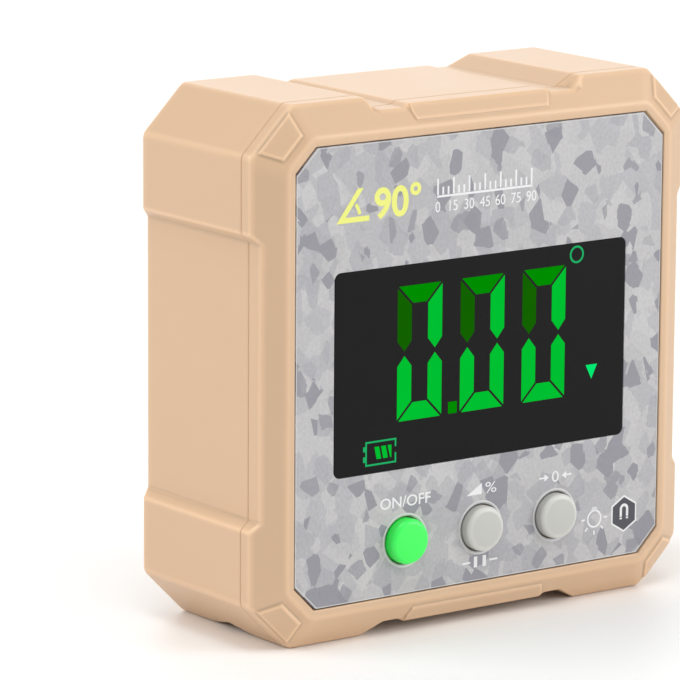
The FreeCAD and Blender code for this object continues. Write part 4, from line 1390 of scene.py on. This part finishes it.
@dataclass
class Print:
    """Ink on a flat surface at one Y place. Each layer stands just proud of the last."""

    level: float
    centre: float
    film: float = 0.012
    capital_share: float = 0.73
    plain_spread: float = 0.9
    sheets: list[tuple[bpy.types.Mesh, int]] = field(default_factory=list)
    inks: list[Stuff] = field(default_factory=list)

    def lay(self, ink: Stuff, mesh: bpy.types.Mesh) -> None:
        """Adds a finished mesh in one ink.

        Args:
            ink: The ink.
            mesh: The mesh, with heights from the case's middle.
        """
        if ink not in self.inks:
            self.inks.append(ink)
        mesh.transform(Matrix.Translation((0, 0, self.centre)))
        self.sheets.append((mesh, self.inks.index(ink)))

    def draw(self, ink: Stuff, *loops: Loop, layer: int = 1) -> None:
        """Prints filled outlines in a layer counted from the surface. One inside another is a hole."""
        self.lay(ink, sheet(loops, self.level - layer * self.film, self.level + self.film))

    def write(self, ink: Stuff, text: str, area: Area, weight: float = 0.0, fill: bool = True) -> None:
        """Prints characters as high as an area.

        Args:
            ink: The ink.
            text: The characters.
            area: The area.
            weight: How much each stroke is thickened, in millimetres.
            fill: Whether they are stretched to the area's width, and not centred at their own.
        """
        curve = bpy.data.curves.new("words", "FONT")
        curve.body, curve.size = text, area.height / self.capital_share
        curve.offset, curve.extrude = weight, self.film
        mesh = stand(curve, self.level - self.film, self.level + self.film)
        across = [vert.co.x for vert in mesh.vertices]
        up = [vert.co.z for vert in mesh.vertices]
        rise = area.height / (max(up) - min(up))
        spread = area.width / (max(across) - min(across)) if fill else self.plain_spread * rise
        mesh.transform(Matrix.Translation((-(min(across) + max(across)) / 2, 0, -min(up))))
        mesh.transform(Matrix.Diagonal((spread, 1, rise, 1)))
        mesh.transform(Matrix.Translation(((area.left + area.right) / 2, 0, area.low)))
        self.lay(ink, mesh)

    def build(self, name: str, slot: str) -> None:
        """Joins everything printed into one piece."""
        settle(name, joined(self.sheets), self.inks, "root", slot, angle=0.0)


# --- Printed face ---

@dataclass
class Face:
    """The printed faceplate: its title, tick scale, button signs and button rings."""

    cut: float = 2.8
    hole_radius: float = 2.7
    edge: float = 0.07
    border: float = 0.08
    ring_radius: float = 2.94
    ring_width: float = 0.26
    ring_rise: float = 0.05
    ring_root: float = 0.1
    window_gap: float = 0.06
    opening_radius: float = 0.85
    angle_sign: Area = Area(-20.1, -15.7, 16.85, 20.5)
    degrees: Area = Area(-15.0, -8.7, 16.85, 20.5)
    scale: Area = Area(-6.4, 6.6, 18.45, 20.55)
    numbers: tuple[float, float] = (16.84, 18.0)
    tick_width: float = 0.24
    tick_gap: float = 0.06
    short_tick: float = 0.55
    caption: Area = Area(-13.9, -7.0, -15.55, -14.3)
    lamp: Point = (16.34, -20.6)
    magnet: Point = (20.67, -20.58)
    plate: Box = field(default_factory=lambda: Box.of("faceplate"))
    window: Box = field(default_factory=lambda: Box.of("display_window"))

    def __post_init__(self) -> None:
        """Finds the middles of the three caps."""
        caps = [Box.of(f"button_{label}").middle for label in ("on_off", "hold", "zero")]
        self.caps = [(spot.x, spot.z) for spot in caps]

    def build(self) -> None:
        """Builds the plate and all that is on it."""
        self.build_plate()
        self.build_rings()
        ink = Print(self.plate.low.y, self.plate.middle.z)
        for part in (self.print_border, self.print_title, self.print_scale, self.print_button_signs,
                     self.print_lamp, self.print_magnet):
            part(ink)
        ink.build("face_signs", "faceplate_print")

    def build_plate(self) -> None:
        """Builds the plate, with its display opening and button holes."""
        middle, size, window = self.plate.middle, self.plate.size, self.window
        holes = [ring_loop(spot, self.hole_radius) for spot in self.caps]
        opening = soft_box_loop((window.middle.x, window.middle.z), window.size.x + 2 * self.window_gap,
                                window.size.z + 2 * self.window_gap, self.opening_radius)
        outline = eight_sided_loop((middle.x, middle.z), size.x, size.z, self.cut)
        mesh = sheet([outline, opening, *holes], self.plate.low.y, self.plate.high.y, self.edge)
        settle("face_plate", mesh, [Stuff.PRINT], "root", "faceplate_print", "faceplate")

    def build_rings(self) -> None:
        """Builds the embossed ring round each button, coloured pale as a painted highlight."""
        half = self.ring_width / 2
        turns = [math.pi * step / 12 for step in range(13)]
        profile = [(self.ring_radius - half * math.cos(turn), self.ring_rise * math.sin(turn))
                   for turn in turns]
        profile += [(self.ring_radius + side, -self.ring_root) for side in (half, -half)]
        rings = [(turned(profile, Vector((x, self.plate.low.y, z)), FORWARD, looped=True), 0)
                 for x, z in self.caps]
        # The rings' pale colour is a painted highlight on the embossed lip.
        settle("button_rings", joined(rings), [Stuff.PALE_HIGHLIGHT_INK], "root", "faceplate_print", angle=60.0)

    def print_border(self, ink: Print) -> None:
        """Draws the bare edge that the print leaves round the plate, its pale tone a painted highlight of
        the polished plate edge.

        Args:
            ink: The face's surface.
        """
        size = self.plate.size
        loops = [eight_sided_loop((0, 0), size.x - 2 * inset, size.z - 2 * inset, self.cut)
                 for inset in (self.edge, self.edge + self.border)]
        # The bare border's pale tone is a painted highlight of the polished plate edge.
        ink.draw(Stuff.PALE_HIGHLIGHT_INK, *loops)

    def print_title(self, ink: Print) -> None:
        """Prints the angle sign and its number of degrees.

        Args:
            ink: The face's surface.
        """
        area, stroke, lean = self.angle_sign, 0.6, math.radians(52)
        tip, over = (area.left, area.low), stroke * math.cos(lean)
        shift = area.left + stroke * math.sin(lean)
        inner = shift + (stroke + over) / math.tan(lean)
        right = shift + (area.height + over) / math.tan(lean)
        foot = area.low + stroke
        angle = [tip, (area.right, area.low), (area.right, foot), (inner, foot), (right, area.high),
                 (area.left + area.height / math.tan(lean), area.high)]
        ink.draw(Stuff.YELLOW_INK, angle, arc_loop(tip, 3.45, 0.42, 15, 37))
        ink.write(Stuff.YELLOW_INK, "90°", self.degrees, 0.12)

    def print_scale(self, ink: Print) -> None:
        """Prints the tick scale, with a number under every third tick.

        Args:
            ink: The face's surface.
        """
        area, width, step, count = self.scale, self.tick_width, 5, 18
        half = width / 2
        ticks = [box_loop(area.left - half, area.right + half, area.low, area.low + width)]
        for index in range(count + 1):
            x = area.left + area.width * index / count
            rise = self.short_tick * area.height
            if index % 3 == 0:
                rise = area.height
                ink.write(Stuff.WHITE_INK, str(step * index), Area(x, x, *self.numbers), fill=False)
            ticks.append(post_loop(x, width, area.low + width + self.tick_gap, area.low + rise))
        ink.draw(Stuff.WHITE_INK, *ticks)

    def print_button_signs(self, ink: Print) -> None:
        """Prints what stands over and under the three buttons.

        Args:
            ink: The face's surface.
        """
        white, row = Stuff.WHITE_INK, self.caption
        ink.write(white, "ON/OFF", row, 0.012)
        ink.draw(white, [(-2.0, row.low), (0.15, row.low), (0.15, row.high)])
        ink.write(white, "%", Area(0.65, 2.2, row.low, row.high), -0.005)
        for side in (-1, 1):
            ink.draw(white, post_loop(0.62 * side, 0.48, -23.85, -22.6))
            ink.draw(white, post_loop(1.9 * side, 1.1, -23.33, -23.12))
        ink.write(white, "0", Area(10.12, 11.08, row.low, row.high))
        level, barb, line = (row.low + row.high) / 2, 0.42, 0.09
        for side in (-1, 1):
            near, neck, far = (10.6 + side * reach for reach in (0.95, 1.57, 2.3))
            ink.draw(white, [(near, level), (neck, level + barb), (neck, level + line), (far, level + line),
                             (far, level - line), (neck, level - line), (neck, level - barb)])

    def print_lamp(self, ink: Print) -> None:
        """Prints the lamp sign: a bulb with its base and five rays.

        Args:
            ink: The face's surface.
        """
        white, (x, z) = Stuff.WHITE_INK, self.lamp
        ink.draw(white, ring_loop(self.lamp, 1.05), ring_loop(self.lamp, 0.84))
        ink.draw(white, post_loop(x, 0.84, z + 1.0, z + 1.14), post_loop(x, 0.6, z + 1.2, z + 1.34))
        for angle in (0, 180, 225, 270, 315):
            near, far = (polar(self.lamp, reach, math.radians(angle)) for reach in (1.36, 1.86))
            ink.draw(white, bar_loop(near, far, 0.19))

    def print_magnet(self, ink: Print) -> None:
        """Prints the six-sided badge with a magnet on it.

        Args:
            ink: The face's surface.
        """
        white, (x, z) = Stuff.WHITE_INK, self.magnet

        def six_sided(across: float, up: float, shoulder: float) -> Loop:
            """Gives a six-sided outline that stands on a point."""
            return [(x, z - up), (x + across, z - shoulder), (x + across, z + shoulder),
                    (x, z + up), (x - across, z + shoulder), (x - across, z - shoulder)]

        ink.draw(white, six_sided(1.83, 2.17, 1.06))
        ink.draw(Stuff.BADGE_INK, six_sided(1.63, 1.93, 0.94), layer=2)
        reach, width, foot, tip = 0.62, 0.32, z - 0.32, z - 0.62
        near = reach - width
        horns = arc_loop((x, z + 0.55), reach, width, 0, 180)
        half = len(horns) // 2
        ink.draw(white, [*horns[:half], (x - reach, foot), (x - near, foot), *horns[half:],
                         (x + near, foot), (x + reach, foot)], layer=3)
        for left, right in ((x - reach, x - near), (x + near, x + reach)):
            ink.draw(white, box_loop(left, right, tip, foot - 0.1), layer=3)


# --- Display ---

@dataclass
class Display:
    """The dark lens and the lit figures behind it."""

    edge: float = 0.06
    radius: float = 0.8
    first_figure: Area = Area(-11.75, -5.65, -5.9, 9.12)
    cell: Area = Area(-16.0, -11.8, -10.38, -7.63)
    dot: tuple[float, float, float, float] = (-4.7, -3.5, -5.85, -4.54)
    degree: Point = (13.2, 10.15)
    degree_radii: tuple[float, float] = (1.0, 0.77)
    arrow: tuple[Point, ...] = ((14.73, -2.66), (16.36, -2.66), (15.56, -4.3))
    pitch: float = 8.65
    figures: int = 3
    stroke: float = 1.93
    bar: float = 1.97
    gap: float = 0.27
    parting: float = 0.25
    point: float = 1.15
    window: Box = field(default_factory=lambda: Box.of("display_window"))

    def build(self) -> None:
        """Builds the lens and its figures."""
        middle, size = self.window.middle, self.window.size
        loop = soft_box_loop((middle.x, middle.z), size.x, size.z, self.radius)
        mesh = sheet([loop], self.window.low.y, self.window.high.y, self.edge)
        settle("display_lens", mesh, [Stuff.LENS], "root", "window_lens", "display_window")
        ink = Print(self.window.low.y, Box.of("faceplate").middle.z)
        for index in range(self.figures):
            self.show_figure(ink, index * self.pitch)
        ink.draw(Stuff.DIM, box_loop(*self.dot))
        ink.draw(Stuff.THIN, *(ring_loop(self.degree, radius) for radius in self.degree_radii))
        ink.draw(Stuff.SIGN, self.arrow)
        self.show_cell(ink)
        ink.build("display_figures", "window_lens")

    def show_figure(self, ink: Print, shift: float) -> None:
        """Shows one nought, with the middle bar dark.

        Args:
            ink: The display's surface.
            shift: How far to the right of the first figure it stands.
        """
        area = self.first_figure
        left, right = area.left + shift, area.right + shift
        slant = math.hypot(self.stroke, self.bar)
        aside, down = self.gap / 2 * slant / self.bar, self.gap / 2 * slant / self.stroke
        for level, end in ((1, area.high), (-1, area.low)):
            inner = end - level * self.bar
            ink.draw(Stuff.DIM if level > 0 else Stuff.BRIGHT,
                     [(left + aside, end), (right - aside, end),
                      (right - self.stroke - aside, inner), (left + self.stroke + aside, inner)])
            tip = (area.low + area.high) / 2 + level * self.parting
            shoulder = tip + level * self.point
            for side, outer in ((-1, left), (1, right)):
                inside = outer - side * self.stroke
                ink.draw(Stuff.FAINT if level > 0 > side else Stuff.BRIGHT,
                         [(outer, end - level * down), (inside, inner - level * down), (inside, shoulder),
                          ((outer + inside) / 2, tip), (outer, shoulder)])

    def show_cell(self, ink: Print) -> None:
        """Shows the battery sign: an open case with two nubs, and three slanted bars.

        Args:
            ink: The display's surface.
        """
        line, nub, area = 0.2, 0.3, self.cell
        left, right, low, high = area.left, area.right, area.low, area.high
        shell = [(right, high), (right, high - 0.94), (right - line, high - 0.94),
                 (right - line, high - line), (left + line, high - line), (left + line, low + line),
                 (right - line, low + line), (right - line, high - 1.6), (right, high - 1.6),
                 (right, low), (left, low)]
        for bottom, top in ((2.28, 1.66), (1.1, 0.53)):
            shell += [(left, high - bottom), (left - nub, high - bottom), (left - nub, high - top),
                      (left, high - top)]
        ink.draw(Stuff.THIN, [*shell, (left, high)])
        top, bottom = high - 0.68, low + 0.68
        for start, width, near_lean, far_lean in ((1.23, 0.62, 0.31, 0.31), (2.13, 0.62, 0.31, 0.31),
                                                  (3.01, 0.53, 0.38, 0.0)):
            near, far = left + start, left + start + width
            ink.draw(Stuff.BRIGHT, [(near, top), (far, top), (far + far_lean, bottom),
                                    (near + near_lean, bottom)])


# --- Buttons ---

@dataclass
class Button:
    """One push button: its soft-rounded cap, with a painted highlight on its rounded edge, and the switch
    stem that it presses.
    """

    label: str
    stuff: Stuff
    slot: str
    radius: float = 2.55
    rounding: float = 0.62
    dome: float = 0.06
    flange: float = 0.8
    flange_edge: float = 0.1
    stem_edge: float = 0.12
    around: int = 96

    def build(self) -> None:
        """Builds the cap with its flange, and the stem."""
        cap, stem = Box.of(f"button_{self.label}"), Box.of(f"plunger_{self.label}")
        body = f"{self.label}_button"
        length, wide, edge = cap.size.y, cap.size.x / 2, self.flange_edge
        flat = self.radius - self.rounding
        profile = [(share * flat, self.dome * share * share) for share in (0.25, 0.5, 0.75)]
        turns = [math.pi / 2 * step / 12 for step in range(13)]
        profile += [(flat + self.rounding * math.sin(turn),
                     self.dome + self.rounding * (1 - math.cos(turn)) * (1 - self.dome)) for turn in turns]
        neck = length - self.flange
        profile += [(self.radius, neck - 0.15), (self.radius + 0.05, neck - 0.03),
                    (self.radius + 0.15, neck), (wide - edge, neck), (wide, neck + edge),
                    (wide, length - edge), (wide - edge, length)]
        # Bend marks on the cap's rounded edge, which the shader paints as a highlight.
        bends = [0.0] * 3 + [math.sin(2 * turn) for turn in turns] + [0.0] * 7
        mesh = turned(profile, Vector((cap.middle.x, cap.low.y, cap.middle.z)), BACKWARD, self.around)
        mark_bend(mesh, np.repeat(bends, self.around))
        settle(f"{self.label}_cap", mesh, [self.stuff], body, self.slot, f"button_{self.label}")
        mesh = turned(rounded(stem.size.x / 2, 0, stem.size.y, self.stem_edge),
                      Vector((stem.middle.x, stem.low.y, stem.middle.z)), BACKWARD, 48)
        settle(f"{self.label}_stem", mesh, [Stuff.BLACK_PLASTIC], body, "switch_plastic",
               f"plunger_{self.label}")


# --- Screws and magnets ---

@dataclass
class ScrewSet:
    """Four slotted screws that point forward, one at each corner of their node's box."""

    node: str
    body: str
    head_radius: float
    head_height: float
    shank_radius: float
    chamfer: float = 0.16
    thread_pitch: float = 0.5
    thread_depth: float = 0.12
    thread_start: float = 0.3
    thread_spare: float = 0.9
    tip_length: float = 0.5
    tip_share: float = 0.45
    head_edge: float = 0.05
    slot_share: float = 0.8
    slot_width: float = 0.5
    slot_depth: float = 0.6

    def build(self) -> None:
        """Builds the four screws as one piece."""
        box, reach = Box.of(self.node), self.head_radius
        screws = [(self.screw(Vector((x, box.high.y, z)), box.size.y), 0)
                  for x in (box.low.x + reach, box.high.x - reach)
                  for z in (box.low.z + reach, box.high.z - reach)]
        settle(f"{self.node}_dressed", joined(screws), [Stuff.SCREW], self.body, "screw_steel", self.node,
               angle=30.0)

    def screw(self, start: Vector, length: float) -> bpy.types.Mesh:
        """Builds one screw.

        Args:
            start: The middle of the head's outer face.
            length: The screw's whole length.

        Returns:
            The screw's mesh.
        """
        wide, head, edge, shank = self.head_radius, self.head_height, self.chamfer, self.shank_radius
        root, pitch = shank - self.thread_depth, self.thread_pitch
        profile = [(wide - edge, 0), (wide - edge * 0.3, edge * 0.3), (wide, edge),
                   (wide, head - self.head_edge), (wide - self.head_edge, head), (shank, head)]
        for index in range(int((length - head - self.thread_spare) / pitch)):
            along = head + self.thread_start + index * pitch
            profile += [(root, along), (shank, along + pitch * 0.45), (shank, along + pitch * 0.55)]
        profile += [(root, length - self.tip_length), (shank * self.tip_share, length)]
        reach, half, deep = self.slot_share * wide, self.slot_width / 2, self.slot_depth
        slot = sheet([box_loop(start.x - reach, start.x + reach, start.z - half, start.z + half)],
                     start.y - deep, start.y + deep)
        return combine(turned(profile, start, FORWARD, 48), slot, "DIFFERENCE")


@dataclass
class Magnets:
    """The two disc magnets in the base."""

    chamfer: float = 0.25

    def build(self) -> None:
        """Builds both discs as one piece."""
        box, edge = Box.of("base_magnets"), self.chamfer
        radius, height = box.size.y / 2, box.size.z
        profile = [(radius - edge, 0), (radius - edge * 0.3, edge * 0.3), (radius, edge),
                   (radius, height - edge), (radius - edge, height)]
        discs = [(turned(profile, Vector((x, box.middle.y, box.low.z)), UPWARD), 0)
                 for x in (box.low.x + radius, box.high.x - radius)]
        settle("magnet_discs", joined(discs), [Stuff.PLATED], "root", "plated_metal", "base_magnets",
               angle=50.0)


# --- Power ---

@dataclass
class Power:
    """The two cells and the door over them."""

    jacket_edge: float = 0.5
    nub_radius: float = 1.9
    nub_length: float = 1.0
    band_share: float = 0.3
    band_start: float = 0.5
    steel_inset: float = 0.95
    door_edge: float = 0.28
    door_radius: float = 3.0
    door_spare: float = 1.0

    def build(self) -> None:
        """Builds the cells and the door."""
        self.build_cell("upper", 1)
        self.build_cell("lower", -1)
        self.build_door()

    def build_cell(self, label: str, side: int) -> None:
        """Builds one cell with a banded jacket.

        Args:
            label: Which cell it is: upper or lower.
            side: 1 where the nub points to +X, or -1.
        """
        node = f"battery_{label}"
        box = Box.of(node)
        radius, length = box.size.y / 2, box.size.x
        start = Vector((box.high.x if side > 0 else box.low.x, box.middle.y, box.middle.z))
        nub, edge, neck = self.nub_radius, self.jacket_edge, self.nub_length
        band, inner = neck + self.band_start + self.band_share * length, radius - edge
        turns = (0.4, 0.8, 1.2, math.pi / 2)
        profile = [(nub - 0.25, 0), (nub, 0.25), (nub, neck), (radius - 1.1, neck),
                   (radius - 0.9, neck + 0.12), (radius - 0.75, neck + 0.02)]
        profile += [(inner + edge * math.sin(turn), neck + edge - edge * math.cos(turn))
                    for turn in (0.0, *turns)]
        profile += [(radius, band), (radius, length - edge)]
        profile += [(inner + edge * math.cos(turn), length - edge + edge * math.sin(turn)) for turn in turns]
        profile += [(radius - 1.0, length), (radius - 1.2, length - 0.15), (radius - 1.6, length - 0.15)]
        mesh = turned(profile, start, Vector((-side, 0, 0)), 72)
        for face in mesh.polygons:
            offset = face.center - start
            if math.hypot(offset.y, offset.z) < radius - self.steel_inset:
                face.material_index = 2
            elif abs(offset.x) < band:
                face.material_index = 1
        settle(f"cell_{label}", mesh, [Stuff.CELL_JACKET, Stuff.CELL_BAND, Stuff.CELL_STEEL], "root",
               "cell_jacket", node, angle=35.0)

    def build_door(self) -> None:
        """Builds the battery door with its outer edges rounded."""
        box = Box.of("battery_cover")
        loop = soft_box_loop((box.middle.x, box.middle.z), box.size.x, box.size.z, self.door_radius)
        slab = sheet([loop], box.low.y - self.door_spare, box.high.y, self.door_edge)
        mesh = combine(slab, packed_mesh("battery_cover"), "INTERSECT")
        settle("door_panel", mesh, [Stuff.CASE], "battery_door", "case_plastic", "battery_cover", angle=35.0)


# --- Inside ---

@dataclass
class Inside:
    """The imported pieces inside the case, which keep their shapes and get their finishes."""

    finishes: dict[str, Stuff] = field(default_factory=lambda: {
        "housing_seal": Stuff.SEAL, "button_seals": Stuff.SEAL, "battery_cover_seal": Stuff.SEAL,
        "display_gasket": Stuff.FOAM, "zebra_connectors": Stuff.STRIPES, "lcd_panel": Stuff.GLASS,
        "backlight_panel": Stuff.LIGHT_GUIDE, "lcd_frame": Stuff.WHITE_PLASTIC, "circuit_board": Stuff.BOARD,
        "tilt_sensor": Stuff.CHIP, "microcontroller": Stuff.CHIP, "clock_crystal": Stuff.PLATED,
        "supply_capacitors": Stuff.CAPACITOR, "tact_switches": Stuff.BLACK_PLASTIC,
        "battery_springs": Stuff.CONTACT, "battery_bridge_plate": Stuff.CONTACT,
        "battery_contact_plates": Stuff.CONTACT})

    def build(self) -> None:
        """Gives each piece its finish."""
        for node, stuff in self.finishes.items():
            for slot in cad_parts[node].material_slots:
                slot.material = stuff.material
            log.info("%s: finished as %s", node, stuff.name.lower())


# --- Studio ---

@dataclass
class Studio:
    """A pale floor, soft light and the camera."""

    azimuth: float = -36.28
    elevation: float = 11.428
    roll: float = 0.353
    distance: float = 526.018
    aim: tuple[float, float, float] = (-19.512, -11.7, 34.144)
    lens: float = 257.97
    sensor: float = 36.0
    room_light: float = 0.44
    floor_reach: float = 4000.0
    lamp_aim: tuple[float, float, float] = (0.0, 0.0, 0.03)

    def build(self) -> None:
        """Sets up the camera, floor and lights."""
        self.place_camera()
        self.lay_floor()
        self.light_room()
        self.lamp("lamp_front", (0.84, -0.8, 0.4), 0.7, 6.9)
        self.lamp("lamp_above", (-0.2, -0.3, 1.12), 0.7, 5.0)
        self.lamp("lamp_left", (-0.88, 0.45, 0.74), 0.7, 6.6)
        self.lamp("lamp_behind", (0.75, 1.05, 0.3), 1.2, 5.5)

    def place_camera(self) -> None:
        """Places the camera."""
        turn, rise, roll = (math.radians(angle) for angle in (self.azimuth, self.elevation, self.roll))
        back = Vector((math.sin(turn) * math.cos(rise), -math.cos(turn) * math.cos(rise), math.sin(rise)))
        right = Vector((math.cos(turn), math.sin(turn), 0))
        up = back.cross(right)
        rolled = (right * math.cos(roll) + up * math.sin(roll), up * math.cos(roll) - right * math.sin(roll))
        data = bpy.data.cameras.new("camera")
        data.lens, data.sensor_width = self.lens, self.sensor
        data.clip_start, data.clip_end = 0.01, 50.0
        camera = bpy.data.objects.new("camera", data)
        where = (Vector(self.aim) + back * self.distance) * MILLIMETRE
        camera.matrix_world = Matrix.Translation(where) @ Matrix((*rolled, back)).transposed().to_4x4()
        bpy.context.scene.collection.objects.link(camera)
        bpy.context.scene.camera = camera

    def lay_floor(self) -> None:
        """Lays the floor."""
        mesh, reach = bpy.data.meshes.new("floor"), self.floor_reach
        corners = [(x, z, 0) for x, z in box_loop(-reach, reach, -reach, reach)]
        mesh.from_pydata(corners, [], [(0, 1, 2, 3)])
        link("floor", mesh, [Stuff.FLOOR])

    def light_room(self) -> None:
        """Fills the room with even white light."""
        world = bpy.data.worlds.new("room")
        world.use_nodes = True
        glow = world.node_tree.nodes["Background"]
        glow.inputs["Color"].default_value = (1.0, 1.0, 1.0, 1.0)
        glow.inputs["Strength"].default_value = self.room_light
        bpy.context.scene.world = world

    def lamp(self, name: str, place: tuple[float, float, float], size: float, power: float) -> None:
        """Hangs one soft square lamp that faces the object.

        Args:
            name: The lamp's name.
            place: Where it hangs, in metres.
            size: Its side, in metres.
            power: Its power in watts.
        """
        data = bpy.data.lights.new(name, "AREA")
        data.shape, data.size, data.energy = "SQUARE", size, power
        lamp = bpy.data.objects.new(name, data)
        lamp.location = place
        lamp.rotation_euler = (Vector(self.lamp_aim) - Vector(place)).to_track_quat("-Z", "Y").to_euler()
        bpy.context.scene.collection.objects.link(lamp)


def main() -> None:
    """Builds every sub-assembly."""
    logging.basicConfig(level=logging.INFO, format="%(message)s")
    bpy.context.scene.view_settings.view_transform = "Standard"
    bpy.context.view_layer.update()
    buttons = [Button("on_off", Stuff.GREEN_CAP, "button_green"),
               Button("hold", Stuff.GREY_CAP, "button_grey"),
               Button("zero", Stuff.GREY_CAP, "button_grey")]
    screws = [ScrewSet("housing_screws", "root", 1.9, 1.5, 1.1),
              ScrewSet("board_screws", "root", 1.5, 1.0, 0.8),
              ScrewSet("battery_cover_screws", "battery_door", 1.5, 1.0, 0.8)]
    for assembly in (Studio(), Case(), Face(), Display(), *buttons, *screws, Magnets(), Power(), Inside()):
        assembly.build()


if __name__ == "__main__":
    main()
